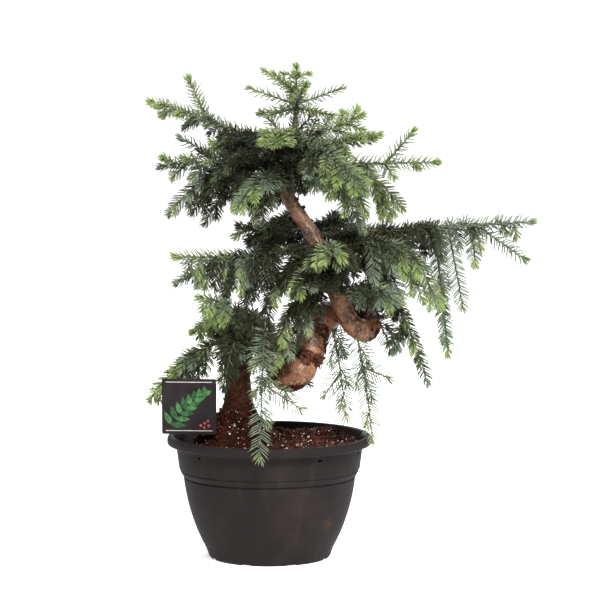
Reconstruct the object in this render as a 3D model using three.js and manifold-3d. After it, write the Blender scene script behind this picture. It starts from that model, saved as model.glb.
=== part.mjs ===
// Araucaria bonsai in a plastic bowl pot: a serpentine trunk, woody boughs and needle-clad fronds.
// Millimetres, +Z up. The origin is the middle of the pot's flat underside, and -Y is the front.
import * as THREE from "three";
import { mergeVertices } from "three/addons/utils/BufferGeometryUtils.js";
import Module from "manifold-3d";

const wasm = await Module();
wasm.setup();

// Fits
const GAP = 0.3; // clearance where two pieces meet
const NEAR = 1.5; // how far a frond keeps from the next frond's space
const LIMB_CLEARANCE = 2; // how far needles keep from the trunk

// Pot
const RIM_RADIUS = 115;
const POT_HEIGHT = 138;
const WALL = 2.2;
const FLOOR = 3;
const FOOT_RADIUS = 68.5;
const BOWL_LOW = [71.6, 11]; // radius and height where the bowl leaves its foot
const BOWL_BELLY = [91, 46]; // pull of the bowl's curve
const BOWL_HIGH = [96.6, 90];
const BAND_LOW = [101.6, 100]; // plain band above the step
const BAND_HIGH = [104.3, 121];
const LIP_DROP = 10.5; // height of the rolled lip
const POT_SIDES = 36;
const BOWL_STEPS = 4;
const DRAIN_COUNT = 8;
const DRAIN_SIZE = [12, 14, 5]; // across, along the radius, high; half of the height is in the foot
const HANGER_COUNT = 9;
const HANGER_SIZE = [5, 12, 2.4];
const HANGER_BEARING = -97.3; // degrees, one slot to each 40 degrees from here
const HANGER_HEIGHT = 121.5;

// Soil
const SOIL_EDGE = 126;
const SOIL_MIDDLE = 129;
const MOUND_TOP = 160;
const MOUND_TOP_RADIUS = 20.5;
const MOUND_FOOT_RADIUS = 48;

// Plant label
const LABEL_CENTRE = [-89, -32];
const LABEL_SIZE = [61, 62];
const LABEL_THICKNESS = 0.9;
const LABEL_LOW = 143;
const LABEL_CORNER = 2;
const LABEL_TURN = -4; // degrees about the vertical
const SPIKE_WIDTH = 10;
const SPIKE_LOW = 104;

// Trunk: the stations of its middle line, each a place and a radius
const STATIONS = [
  { at: [-36, 5, 140], r: 14.5 }, // foot
  { at: [-36, 5, 172], r: 13.5 },
  { at: [-35, 4, 203], r: 14 },
  { at: [-35, 4, 222], r: 14.5 },
  { at: [-30, 6, 239], r: 14.5 },
  { at: [-18, 9, 245], r: 14.5 }, // crest of the first bend
  { at: [-5, 10, 241], r: 15 },
  { at: [8.5, -2, 235], r: 15.5 },
  { at: [10, -6.5, 212.5], r: 15.6 },
  { at: [19.5, -20.5, 205.5], r: 15.8 }, // lowest point of the first loop
  { at: [33, -28.5, 212], r: 15.8 },
  { at: [46.5, -20, 226], r: 16.2 },
  { at: [44.5, -7, 240.5], r: 16.8 },
  { at: [55, 4, 262], r: 16.5 },
  { at: [68, 13, 272], r: 15.5 },
  { at: [80, 20, 277], r: 14.5 }, // crest of the second bend
  { at: [94, 22, 274], r: 14 },
  { at: [107, 16, 268], r: 13.3 },
  { at: [113, 3, 262], r: 12.6 },
  { at: [109, -12, 256], r: 12 }, // elbow under the upper trunk
  { at: [99, -21, 257], r: 11.7 },
  { at: [89, -23, 269], r: 11.1 },
  { at: [79, -20, 288], r: 10.7 },
  { at: [66, -12, 327], r: 9.6 },
  { at: [47, -3, 369], r: 8.7 },
  { at: [14, 4, 408], r: 7.6 },
  { at: [20, 6, 441], r: 5.6 }, // crown
  { at: [27, 5, 475], r: 3.4 },
  { at: [30, 4, 500], r: 2.2 }, // tip of the wood
];
const FLARE = 12; // extra radius at the ground
const FLARE_HEIGHT = 15;
const ROOT_LOBES = 5;
const ROOT_LOBE_DEPTH = 0.16;
const TRUNK_SIDES = 12;
const TRUNK_STEP = 11; // length of one facet along the trunk

// The trunk's pieces, split where it turns: name, first and last station
const TRUNK_PIECES = [
  ["trunk_column", 0, 6.6],
  ["trunk_drop", 6.6, 7.7],
  ["trunk_rise", 7.7, 14.5],
  ["trunk_back", 14.5, 18.5],
  ["trunk_upper", 18.5, 28],
];

// Sprays of needles. One tooth stands for several real needles.
const NEEDLE_OUT = 9.5; // reach of a needle's tip from its twig
const NEEDLE_AHEAD = 0.8; // and along it, as a share of one step
const CORE = 3.2; // radius between two rings of teeth
const TWIG_RADIUS = 1.4;
const TWIG_TIP_RADIUS = 0.7;
const STEM_STEP = 24;
const SHOOT_STEP = 27;
const SHORTEST_SHOOT = 16;
const SHOOTS_APART = 9; // between the middle lines of two shoots of a frond
const NEEDLE_APART = 6; // from a needle's tip to the next shoot's middle line
const SHOOT_ANGLE = 56; // degrees from the stem
const BOUGH_SIDES = 6;
const BOUGH_STEP = 22;

// Fronds: name; station on the trunk, or the bough that carries it; bearing in degrees from +X towards
// +Y; level reach; rise of the tip above the root; arch of the middle above the straight line; side
// shoots and the longest of them; weep from 0, straight, to 1, hanging; roll of the shoots' plane; bare
// bough before the needles; share of the stem that is needle-clad; and forks, which are strong shoots
// by their place on the stem, bearing, pitch and length.
function frond(name, on, bearing, reach, rise, arch, shoots, spread, weep, roll, bough, clad, forks = []) {
  return { name, on, bearing, reach, rise, arch, shoots, spread, weep, roll, bough, clad, forks };
}
const FRONDS = [
  frond("crown_left_high", 26.35, -176, 153, 58, 4, 9, 42, 0.4, 15, 20, 0.6, [[0.6, 180, 66, 48]]),
  frond("crown_left_mid", 25.9, -168, 141, 3, 6, 9, 46, 0.15, 40, 18, 0.5, [[0.5, 178, 28, 57]]),
  frond("crown_left_low", 25.45, 178, 130, -36, 30, 9, 46, 0.6, 30, 18, 0.5, [
    [0.6, -168, -59, 49],
    [0.42, 180, -60, 70],
    [0.27, -170, -66, 50],
  ]),
  frond("crown_front_left", 25.6, -130, 84, -32, 16, 7, 38, 0.5, 15, 0, 0.6, [[0.4, -100, -66, 60]]),
  frond("crown_front_high", 26.7, -102, 92, 4, 8, 7, 36, 0.1, 0, 0, 0.6, [[0.26, 165, 46, 40]]),
  frond("crown_front_right", 26.1, -46, 120, -28, 22, 8, 44, 0.3, 20, 0, 0.6),
  frond("crown_right_drop", 25.65, -30, 98, -58, 34, 7, 42, 0.6, 20, 0, 0.6),
  frond("crown_right_high", 26.9, 18, 81, 24, -4, 7, 34, 0.1, 50, 0, 0.6),
  frond("crown_right_mid", 26.5, -17, 101, 17, -2, 8, 38, 0.1, 15, 0, 0.6),
  frond("crown_right_long", 25.95, 4, 167, 4, 0, 3, 28, 0.4, 20, 40, 0.4, [[0.66, 0, 49, 46]]),
  frond("crown_right_back", 25.5, 24, 146, -36, 34, 8, 50, 0.8, 20, 24, 0.5, [
    [0.56, 0, -74, 58],
    [0.76, 8, -70, 48],
  ]),
  frond("crown_back_left", 26.2, 132, 124, 6, 8, 9, 46, 0.2, 20, 20, 0.5),
  frond("crown_back", 26.6, 88, 112, -4, 12, 9, 44, 0.2, 0, 0, 0.5, [[0.3, 20, 46, 34]]),
  frond("crown_back_right", 25.8, 58, 116, -6, 12, 8, 44, 0.3, -20, 0, 0.5),
  frond("crown_back_low", 25.2, 112, 104, -34, 22, 8, 42, 0.5, 0, 0, 0.5),
  frond("mid_left_long", 23.6, -174, 158, -12, -5, 8, 60, 0.85, 20, 26, 0.5, [
    [0.65, -172, -27, 60],
    [0.58, -170, -72, 54],
    [0.42, -140, -71, 70],
    [0.32, -100, -73, 79],
  ]),
  frond("mid_left_short", 24.1, -153, 83, 3, -6, 8, 36, 0.3, 40, 0, 0.5),
  frond("mid_front_high", 23.3, -84, 86, 13, 6, 8, 46, 0.6, 0, 0, 0.5),
  frond("mid_front_low", 22.7, -122, 76, -12, 16, 7, 40, 0.5, 10, 0, 0.5),
  frond("mid_left_drop", 23.15, -165, 64, -40, 20, 7, 44, 0.7, 0, 0, 0.6, [[0.35, -150, 14, 40]]),
  frond("mid_front_drop", 22.4, -147, 80, -58, 22, 7, 40, 0.6, 0, 0, 0.6, [
    [0.55, -115, -70, 56],
    [0.8, -130, -72, 48],
  ]),
  frond("mid_right_long", 23.85, 2, 244, 15, 0, 4, 40, 0.75, 45, 126, 0.6, [
    [0.75, 0, -35, 66],
    [0.62, -15, -79, 92],
    [0.73, 0, -85, 44],
  ]),
  frond("mid_right_low", 23.25, -14, 116, -8, 22, 8, 56, 0.8, 10, 24, 0.5, [
    [0.75, -11, -65, 61],
    [0.92, -5, -64, 58],
    [0.5, -14, -62, 66],
  ]),
  frond("mid_right_drop", 22.7, 20, 116, -122, 60, 7, 42, 0.8, 20, 30, 0.6, [[0.78, 180, -48, 29]]),
  frond("mid_front_right", 22.15, -34, 74, -2, 12, 8, 40, 0.4, 10, 0, 0.5),
  frond("mid_back_left", 23.95, 124, 116, -46, 30, 9, 56, 0.8, 0, 0, 0.5),
  frond("mid_back", 23.45, 80, 96, 34, 4, 8, 44, 0.3, 0, 0, 0.5),
  frond("mid_back_right", 23.05, 52, 130, 26, 18, 9, 50, 0.5, 0, 24, 0.5),
  frond("low_left_long", 4.8, -176, 114, -66, 22, 8, 40, 0.6, 30, 20, 0.5),
  frond("low_left_high", 6, -154, 79, 54, 12, 8, 44, 0.75, 20, 0, 0.6),
  frond("low_left_back", 5.5, 164, 77, 9, 20, 8, 42, 0.75, 0, 0, 0.6),
  frond("low_front", 4.1, -108, 70, -40, 26, 6, 32, 0.5, 0, 0, 0.6),
  frond("low_weeper", 6.2, -93, 132, -110, 58, 5, 36, 0.6, 0, 0, 0.6, [[0.72, -10, -32, 50]]),
  frond("low_back", 5, 96, 96, 0, 24, 8, 44, 0.5, 0, 0, 0.5),
  frond("drop_front", 13.8, -69, 56, -107, 20, 4, 30, 0.7, 0, 0, 0.75, [[0.7, -163, -53, 29]]),
  frond("drop_rim", 20.5, -64, 46, -121, 16, 4, 28, 0.7, 0, 0, 0.8, [[0.5, -10, -21, 30]]),
  frond("drop_elbow", 17.9, -17, 26, -30, 14, 3, 18, 0.8, 0, 0, 0.7),
  frond("drop_back", 16, 78, 74, -22, 26, 8, 42, 0.7, 0, 0, 0.5),
  frond("right_weeper", "mid_right_long", -18, 16, -138, 0, 3, 34, 0.9, 0, 0, 0.95, [[0.07, 174, -46, 52]]),
];
const LEADER_HEIGHT = 50;
// Height of each whorl, the length and pitch of its shoots, and how much shorter they are towards +X
const LEADER_WHORLS = [[4, 51, -8, 0], [8, 55, 19, 0], [21, 34, 28, 0.6], [39, 14, 12, 0]];
const WHORL_SHOOTS = 4;

// Finishes
const finish = (color, roughness) => new THREE.MeshStandardMaterial({ color, roughness, metalness: 0 });
const PLASTIC = finish(0x3e3a3b, 0.45);
const SOIL = finish(0x3b2720, 0.95);
const BARK = finish(0x8a5f47, 0.6);
const GREEN_BARK = finish(0x4b3d2c, 0.8);
const CARD = finish(0x231d1f, 0.4);
const FOLIAGE = finish(0x44573d, 0.7);

const UP = new THREE.Vector3(0, 0, 1);
const radians = THREE.MathUtils.degToRad;
const vector = (list) => new THREE.Vector3(...list);

// The direction with a bearing and a pitch in degrees.
function headingOf(bearing, pitch) {
  const level = Math.cos(radians(pitch));
  const [x, y] = [Math.cos(radians(bearing)), Math.sin(radians(bearing))];
  return new THREE.Vector3(x * level, y * level, Math.sin(radians(pitch)));
}

// Seeded numbers from 0 to 1, the same on every run.
function seeded(seed) {
  let state = seed >>> 0;
  return () => {
    state = (Math.imul(1664525, state) + 1013904223) >>> 0;
    return state / 4294967296;
  };
}

// Closed geometry as a solid.
function solidOf(geometry) {
  const bare = geometry.clone();
  bare.deleteAttribute("normal");
  bare.deleteAttribute("uv");
  const merged = mergeVertices(bare, 1e-4);
  const faces = [];
  for (let i = 0; i < merged.index.count; i += 3) {
    const [a, b, c] = [0, 1, 2].map((k) => merged.index.getX(i + k));
    if (a !== b && b !== c && c !== a) faces.push(a, b, c);
  }
  return new wasm.Manifold(
    new wasm.Mesh({
      numProp: 3,
      vertProperties: merged.attributes.position.array,
      triVerts: new Uint32Array(faces),
    }),
  );
}

// A solid's largest body as a named mesh: scraps and sealed hollows are left behind.
function meshOf(name, solid, material) {
  const [body] = solid.decompose().sort((a, b) => b.volume() - a.volume());
  const made = body.getMesh();
  const geometry = new THREE.BufferGeometry();
  geometry.setAttribute("position", new THREE.BufferAttribute(made.vertProperties, 3));
  geometry.setIndex(new THREE.BufferAttribute(made.triVerts, 1));
  geometry.computeVertexNormals();
  const mesh = new THREE.Mesh(geometry, material);
  mesh.name = name;
  return mesh;
}

// A body turned about the vertical from a profile of radius and height.
function turned(profile, sides) {
  const geometry = new THREE.LatheGeometry(profile, sides);
  geometry.rotateX(Math.PI / 2);
  return solidOf(geometry);
}

// A box by its middle, turned about the vertical.
function block(size, middle, bearing) {
  const geometry = new THREE.BoxGeometry(...size);
  geometry.rotateZ(radians(bearing));
  geometry.translate(...middle);
  return solidOf(geometry);
}

// A solid carried round the pot's axis.
function around(solid, bearing) {
  return solid.rotate([0, 0, bearing]);
}

// The bowl's curve, moved inwards by inset.
function bowlCurve(inset) {
  const points = [BOWL_LOW, BOWL_BELLY, BOWL_HIGH].map(([r, z]) => new THREE.Vector2(r - inset, z));
  return new THREE.QuadraticBezierCurve(...points);
}

// Pot: one moulded shell with a foot, a curved bowl, a step, a plain band and a rolled lip.
function pot() {
  const outline = new THREE.Path();
  outline.moveTo(0, 0);
  outline.lineTo(FOOT_RADIUS - 2, 0);
  outline.lineTo(FOOT_RADIUS, 2);
  const profile = [
    ...outline.getPoints(),
    ...bowlCurve(0).getPoints(BOWL_STEPS),
    new THREE.Vector2(...BAND_LOW),
    new THREE.Vector2(...BAND_HIGH),
  ];
  const lipLow = POT_HEIGHT - LIP_DROP;
  const lip = new THREE.Path();
  lip.moveTo(RIM_RADIUS - 2.5, lipLow);
  lip.lineTo(RIM_RADIUS, lipLow + 2.5);
  lip.lineTo(RIM_RADIUS, POT_HEIGHT - 3);
  lip.quadraticCurveTo(RIM_RADIUS, POT_HEIGHT, RIM_RADIUS - 3.5, POT_HEIGHT);
  lip.quadraticCurveTo(BAND_HIGH[0] + 2.6, POT_HEIGHT, BAND_HIGH[0] + 2.2, POT_HEIGHT - 3.5);
  profile.push(...lip.getPoints(2));
  profile.push(new THREE.Vector2(BAND_HIGH[0] - WALL, BAND_HIGH[1]));
  profile.push(new THREE.Vector2(BAND_LOW[0] - WALL, BAND_LOW[1] + 0.6));
  profile.push(...bowlCurve(WALL).getPoints(BOWL_STEPS).reverse());
  profile.push(new THREE.Vector2(FOOT_RADIUS - 6, FLOOR), new THREE.Vector2(0, FLOOR));
  let shell = turned(profile, POT_SIDES);
  for (let i = 0; i < DRAIN_COUNT; i += 1) {
    const bearing = (360 / DRAIN_COUNT) * (i + 0.5);
    shell = shell.subtract(around(block(DRAIN_SIZE, [0, FOOT_RADIUS, 0], 0), bearing));
  }
  for (let i = 0; i < HANGER_COUNT; i += 1) {
    const bearing = HANGER_BEARING + (360 / HANGER_COUNT) * i - 90;
    shell = shell.subtract(around(block(HANGER_SIZE, [0, BAND_HIGH[0], HANGER_HEIGHT], 0), bearing));
  }
  return meshOf("pot", shell, PLASTIC);
}

// Label: a card on a pointed spike, pressed into the soil in front of the trunk.
function labelSolid(grow) {
  const [width, height] = LABEL_SIZE;
  const [half, top, c] = [width / 2 + grow, LABEL_LOW + height + grow, LABEL_CORNER];
  const low = LABEL_LOW - grow;
  const spike = SPIKE_WIDTH / 2 + grow;
  const card = new THREE.Shape();
  card.moveTo(0, SPIKE_LOW - grow);
  card.lineTo(spike, SPIKE_LOW + 14);
  card.lineTo(spike, low);
  card.lineTo(half - c, low);
  card.quadraticCurveTo(half, low, half, low + c);
  card.lineTo(half, top - c);
  card.quadraticCurveTo(half, top, half - c, top);
  card.lineTo(c - half, top);
  card.quadraticCurveTo(-half, top, -half, top - c);
  card.lineTo(-half, low + c);
  card.quadraticCurveTo(-half, low, c - half, low);
  card.lineTo(-spike, low);
  card.lineTo(-spike, SPIKE_LOW + 14);
  const depth = LABEL_THICKNESS + 2 * grow;
  const geometry = new THREE.ExtrudeGeometry(card, { depth, bevelEnabled: false, curveSegments: 2 });
  geometry.translate(0, 0, -depth / 2);
  geometry.rotateX(Math.PI / 2);
  geometry.rotateZ(radians(LABEL_TURN));
  geometry.translate(...LABEL_CENTRE, 0);
  return solidOf(geometry);
}

// Soil: a plug that fills the pot, heaped round the trunk's foot as its socket, with a slit for the label.
function soil() {
  const side = bowlCurve(WALL + GAP).getPoints(BOWL_STEPS);
  const profile = [
    new THREE.Vector2(0, FLOOR + GAP),
    new THREE.Vector2(FOOT_RADIUS - 6.5, FLOOR + GAP),
    ...side,
    new THREE.Vector2(BAND_LOW[0] - WALL - GAP, BAND_LOW[1] + 0.6),
    new THREE.Vector2(BAND_HIGH[0] - WALL - GAP, BAND_HIGH[1]),
    new THREE.Vector2(BAND_HIGH[0] - WALL - GAP, SOIL_EDGE),
    new THREE.Vector2(BAND_HIGH[0] / 2, SOIL_MIDDLE),
    new THREE.Vector2(0, SOIL_MIDDLE),
  ];
  const [x, y] = STATIONS[0].at;
  const heap = new THREE.Path();
  heap.moveTo(0, SOIL_EDGE - 10);
  heap.lineTo(MOUND_FOOT_RADIUS, SOIL_EDGE - 10);
  heap.lineTo(MOUND_FOOT_RADIUS, SOIL_MIDDLE - 1);
  heap.lineTo(MOUND_TOP_RADIUS, MOUND_TOP);
  heap.lineTo(0, MOUND_TOP);
  const mound = turned(heap.getPoints(), POT_SIDES / 2).translate([x, y, 0]);
  const socket = trunkSeat.add(trunkSeat.translate([0, 0, -GAP]));
  const plug = turned(profile, POT_SIDES / 2).add(mound);
  return meshOf("soil", plug.subtract(labelSolid(GAP)).subtract(socket), SOIL);
}

// The trunk's middle line by station: a smooth line that follows the stations, rounding each turn off.
function trunkAt(station) {
  const last = STATIONS.length - 1;
  const i = Math.min(Math.floor(station), last - 1);
  const w = station - i;
  const near = [i - 1, i, i + 1, i + 2].map((k) => STATIONS[THREE.MathUtils.clamp(k, 0, last)]);
  const places = near.map(({ at }) => vector(at));
  if (i === 0) places[0].copy(places[1]).multiplyScalar(2).sub(places[2]);
  if (i === last - 1) places[3].copy(places[2]).multiplyScalar(2).sub(places[1]);
  const weights = [
    (1 - w) ** 3,
    3 * w ** 3 - 6 * w ** 2 + 4,
    -3 * w ** 3 + 3 * w ** 2 + 3 * w + 1,
    w ** 3,
  ];
  const middle = new THREE.Vector3();
  places.forEach((place, k) => middle.addScaledVector(place, weights[k] / 6));
  return middle;
}

function trunkRadius(station) {
  const i = Math.min(Math.floor(station), STATIONS.length - 2);
  const plain = THREE.MathUtils.lerp(STATIONS[i].r, STATIONS[i + 1].r, station - i);
  const height = trunkAt(station).z - STATIONS[0].at[2];
  return station < 2 ? plain + FLARE * Math.exp(-height / FLARE_HEIGHT) : plain;
}

// The length of a line that is given by its share from 0 to 1.
function lineLength(line) {
  let length = 0;
  for (let k = 0; k < 20; k += 1) length += line(k / 20).distanceTo(line((k + 1) / 20));
  return length;
}

// Points along a path with a frame at each that turns no more than the path does.
function framesAlong(path, steps) {
  const frames = [];
  for (let k = 0; k <= steps; k += 1) {
    const at = path(k / steps);
    const ahead = path(Math.min(1, k / steps + 0.001));
    const behind = path(Math.max(0, k / steps - 0.001));
    const along = ahead.sub(behind).normalize();
    const before = frames.length ? frames[k - 1].side : new THREE.Vector3(0.3, 1, 0.1);
    const side = before.clone().addScaledVector(along, -before.dot(along)).normalize();
    frames.push({ at, along, side, over: side.clone().cross(along) });
  }
  return frames;
}

// A tapering limb: a cylinder bent along a path. lobe(share, angle) swells its section.
function limb(path, radius, sides, steps, lobe = () => 1) {
  const geometry = new THREE.CylinderGeometry(1, 1, 1, sides, steps);
  const frames = framesAlong(path, steps);
  const position = geometry.attributes.position;
  for (let i = 0; i < position.count; i += 1) {
    const share = position.getY(i) + 0.5;
    const { at, side, over } = frames[Math.round(share * steps)];
    const [x, z] = [position.getX(i), position.getZ(i)];
    const size = radius(share) * lobe(share, Math.atan2(z, x));
    const point = at.clone().addScaledVector(side, x * size).addScaledVector(over, z * size);
    position.setXYZ(i, point.x, point.y, point.z);
  }
  return solidOf(geometry);
}

// One length of trunk between two stations, grown and shortened by the clearances asked for.
function trunkLength(from, to, grow, trim) {
  const cut = (station) => (0.01 * trim) / trunkAt(station).distanceTo(trunkAt(station - 0.01));
  const [low, high] = [from > 0 ? from + cut(from) : from, to - cut(to)];
  const station = (share) => low + share * (high - low);
  const lobe = (share, angle) => {
    const height = trunkAt(station(share)).z - STATIONS[0].at[2];
    const depth = station(share) < 2 ? ROOT_LOBE_DEPTH * Math.exp(-height / FLARE_HEIGHT) : 0;
    return 1 + depth * Math.cos(ROOT_LOBES * angle);
  };
  const path = (share) => trunkAt(station(share));
  const steps = Math.round(lineLength(path) / TRUNK_STEP);
  return limb(path, (share) => trunkRadius(station(share)) + grow, TRUNK_SIDES, steps, lobe);
}

// The whole trunk grown by a clearance, to seat boughs and stems against.
const grownTrunk = TRUNK_PIECES.map(([, from, to]) => trunkLength(from, to, GAP, GAP / 2));
const trunkSeat = grownTrunk.reduce((seat, piece) => seat.add(piece));
const trunkSamples = Array.from({ length: 20 * STATIONS.length }, (_, i) => {
  const station = (i / (20 * STATIONS.length)) * (STATIONS.length - 1);
  return { at: trunkAt(station), r: trunkRadius(station) };
});

// A frond's middle line from the trunk, or from the tip of the bough that carries it.
function frondLine(frond) {
  const carrier = FRONDS.find(({ name }) => name === frond.on);
  const drop = carrier ? boughRadius(carrier) + GAP : 0;
  const root = carrier ? boughTip(carrier).addScaledVector(UP, -drop) : trunkAt(frond.on);
  const span = headingOf(frond.bearing, 0).multiplyScalar(frond.reach).addScaledVector(UP, frond.rise);
  return (s) => root.clone().addScaledVector(span, s).addScaledVector(UP, 4 * frond.arch * s * (1 - s));
}

// The share of a line where the given length from its root is reached.
function shareAt(line, length) {
  let [walked, share] = [0, 0];
  while (walked < length && share < 1) {
    walked += line(share).distanceTo(line(share + 0.01));
    share += 0.01;
  }
  return share;
}

const boughRadius = (frond) => 1.4 + frond.reach * 0.006;
const trunkDepth = (frond) => (typeof frond.on === "number" ? trunkRadius(frond.on) : 0);
const boughEnd = (frond) => (frond.bough ? shareAt(frondLine(frond), frond.bough + trunkDepth(frond)) : 0);
function boughTip(frond) {
  return frondLine(frond)(boughEnd(frond));
}

const lines = FRONDS.map((frond) => frondLine(frond));
const leaderRoot = trunkAt(STATIONS.length - 1).addScaledVector(UP, GAP);
const leaderLine = (s) => leaderRoot.clone().addScaledVector(UP, LEADER_HEIGHT * s);
const leaderForks = LEADER_WHORLS.flatMap(([height, length, pitch, lean], tier) =>
  Array.from({ length: WHORL_SHOOTS }, (_, k) => {
    const bearing = (360 / WHORL_SHOOTS) * k + 53 + 45 * tier;
    return [height / LEADER_HEIGHT, bearing, pitch, length * (1 - lean * headingOf(bearing, 0).x)];
  }),
);
const axes = [...lines, leaderLine].map((line, k) => {
  const { bough, forks } = FRONDS[k] ?? { forks: leaderForks };
  const from = bough ? boughEnd(FRONDS[k]) : 0;
  const stem = Array.from({ length: 13 }, (_, i) => line(from + ((1 - from) * i) / 12));
  const branches = forks.map(([share, bearing, pitch, length]) => {
    return [line(share), line(share).addScaledVector(headingOf(bearing, pitch), length)];
  });
  return [stem, ...branches];
});
const boughSamples = FRONDS.flatMap((frond, owner) => {
  const end = boughEnd(frond);
  const count = Math.ceil(frond.bough / 3);
  const r = 1.3 * boughRadius(frond);
  return Array.from({ length: count }, (_, i) => ({ at: lines[owner]((end * i) / count), r, owner }));
});

// The distance from a point to a frond's stem and forks.
function distanceTo(axis, point) {
  const closest = new THREE.Vector3();
  let least = Infinity;
  for (const path of axis) {
    for (let k = 0; k + 1 < path.length; k += 1) {
      new THREE.Line3(path[k], path[k + 1]).closestPointToPoint(point, true, closest);
      least = Math.min(least, closest.distanceTo(point));
    }
  }
  return least;
}

// Whether a point is in a frond's own space: nearer to it than to any other, clear of wood, pot and label.
function isFree(point, owner) {
  const touches = ({ at, r, owner: limb }) => limb !== owner && at.distanceTo(point) < r + LIMB_CLEARANCE;
  if (trunkSamples.some(touches) || boughSamples.some(touches)) return false;
  if (point.z < POT_HEIGHT + 3 && Math.hypot(point.x, point.y) < RIM_RADIUS + 3) return false;
  const [dx, dy] = [point.x - LABEL_CENTRE[0], point.y - LABEL_CENTRE[1]];
  const [halfWidth, top] = [LABEL_SIZE[0] / 2 + 3, LABEL_LOW + LABEL_SIZE[1] + 3];
  if (Math.abs(dx) < halfWidth && Math.abs(dy) < 6 && point.z < top) return false;
  const own = distanceTo(axes[owner], point);
  return axes.every((axis, k) => k === owner || distanceTo(axis, point) > own + NEAR);
}

// A spray of needles: a three-sided core along a path, drawn out into rings of forward-pointing teeth.
function spray(path, steps, thick, bareSteps, isOpen) {
  const frames = framesAlong(path, steps);
  const points = [];
  const faces = [0, 2, 1];
  const add = (place) => points.push(place) - 1;
  const corner = ({ side, over }, i, k) => {
    const angle = (Math.PI * (2 * i + k)) / 3;
    return side.clone().multiplyScalar(Math.cos(angle)).addScaledVector(over, -Math.sin(angle));
  };
  const ring = (k, ahead, radius) =>
    [0, 1, 2].map((i) => {
      const middle = frames[k].at.clone().lerp(frames[k + 1].at, ahead);
      const needle = middle.clone().addScaledVector(corner(frames[k], i, k), radius);
      const isCrowded = ahead > 0 && !isOpen(needle, NEEDLE_APART);
      return add(isCrowded ? middle.addScaledVector(corner(frames[k], i, k), CORE) : needle);
    });
  const rings = [];
  for (let k = 0; k < steps; k += 1) {
    const size = THREE.MathUtils.lerp(thick, TWIG_TIP_RADIUS, k / steps);
    rings.push(ring(k, 0, k > bareSteps ? CORE : size));
    if (k >= bareSteps) rings.push(ring(k, NEEDLE_AHEAD, NEEDLE_OUT));
  }
  rings.slice(1).forEach((high, k) => {
    const low = rings[k];
    [0, 1, 2].forEach((i) => {
      const j = (i + 1) % 3;
      faces.push(low[i], low[j], high[i], low[j], high[j], high[i]);
    });
  });
  const last = rings[rings.length - 1];
  const tip = add(frames[steps].at);
  [0, 1, 2].forEach((i) => faces.push(last[i], last[(i + 1) % 3], tip));
  const geometry = new THREE.BufferGeometry().setFromPoints(points);
  geometry.setIndex(faces);
  return solidOf(geometry);
}

// A side shoot's line: it sets off along a heading and bends down by its weep, keeping its length.
function shootLine(root, heading, length, weep) {
  const points = [root.clone()];
  const pieces = 8;
  for (let k = 0; k < pieces; k += 1) {
    const turn = weep * Math.min(1, (k + 1) / (0.6 * pieces));
    const way = heading.clone().multiplyScalar(1 - turn).addScaledVector(UP, -turn).normalize();
    points.push(points[k].clone().addScaledVector(way, length / pieces));
  }
  return (s) => {
    const k = Math.min(Math.floor(s * pieces), pieces - 1);
    return points[k].clone().lerp(points[k + 1], s * pieces - k);
  };
}

// A shoot with its needles, cut short where it would leave the open space; none where too little is left.
function shootSolid(line, length, isOpen) {
  const tests = 12;
  let open = 3;
  while (open < tests && isOpen(line((open + 1) / tests), SHOOTS_APART)) open += 1;
  const kept = open / tests;
  if (kept * length < SHORTEST_SHOOT) return null;
  const steps = Math.max(2, Math.round((kept * length) / SHOOT_STEP));
  const path = (share) => line(share * kept);
  return { solid: spray(path, steps, TWIG_RADIUS, 0, isOpen), path };
}

// Shoots set one after another, each keeping to the frond's space and off the shoots before it.
function fuseShoots(stem, stemPath, plans, owner) {
  const taken = [0.75, 0.82, 0.9, 1].map((share) => stemPath(share));
  const isOpen = (point, apart) => {
    return taken.every((other) => other.distanceTo(point) > apart) && isFree(point, owner);
  };
  let fused = stem;
  plans.forEach(({ line, length }) => {
    const shoot = shootSolid(line, length, isOpen);
    if (!shoot) return;
    fused = fused.add(shoot.solid);
    for (let share = 0.3; share <= 1; share += 0.1) taken.push(shoot.path(share));
  });
  return fused;
}

// Strong shoots by their place on a line, bearing, pitch and length.
function forkShoots(line, forks) {
  return forks.map(([share, bearing, pitch, length]) => {
    return { line: shootLine(line(share), headingOf(bearing, pitch), length, 0), length };
  });
}

// Side shoots of a frond, left and right in turn, longest near its root.
function sideShoots(frond, owner, from) {
  const random = seeded(101 * (owner + 1));
  const line = lines[owner];
  return Array.from({ length: frond.shoots }, (_, i) => {
    const share = (i + 0.4 + 0.4 * random()) / frond.shoots;
    const s = from + (1 - from) * (0.04 + 0.86 * share);
    const hand = i % 2 ? 1 : -1;
    const angle = radians(SHOOT_ANGLE - 12 * share + 10 * (random() - 0.5));
    const roll = radians(frond.roll + 40 * (random() - 0.5));
    const length = frond.spread * (1 - 0.6 * share) * (0.85 + 0.3 * random());
    const along = line(Math.min(1, s + 0.02)).sub(line(s - 0.02)).normalize();
    const level = along.clone().cross(UP).normalize().applyAxisAngle(along, roll);
    const heading = along.multiplyScalar(Math.cos(angle)).addScaledVector(level, hand * Math.sin(angle));
    return { line: shootLine(line(s), heading, length, frond.weep), length };
  });
}

// Boughs: bare limbs from the trunk to where the needles begin.
function bough(frond, owner) {
  const end = boughEnd(frond);
  const radius = (s) => boughRadius(frond) * (1.35 - 0.35 * s);
  const steps = Math.max(2, Math.round(frond.bough / BOUGH_STEP));
  const solid = limb((s) => lines[owner](s * end), radius, BOUGH_SIDES, steps);
  return meshOf(`bough_${frond.name}`, solid.subtract(trunkSeat), GREEN_BARK);
}

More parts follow.
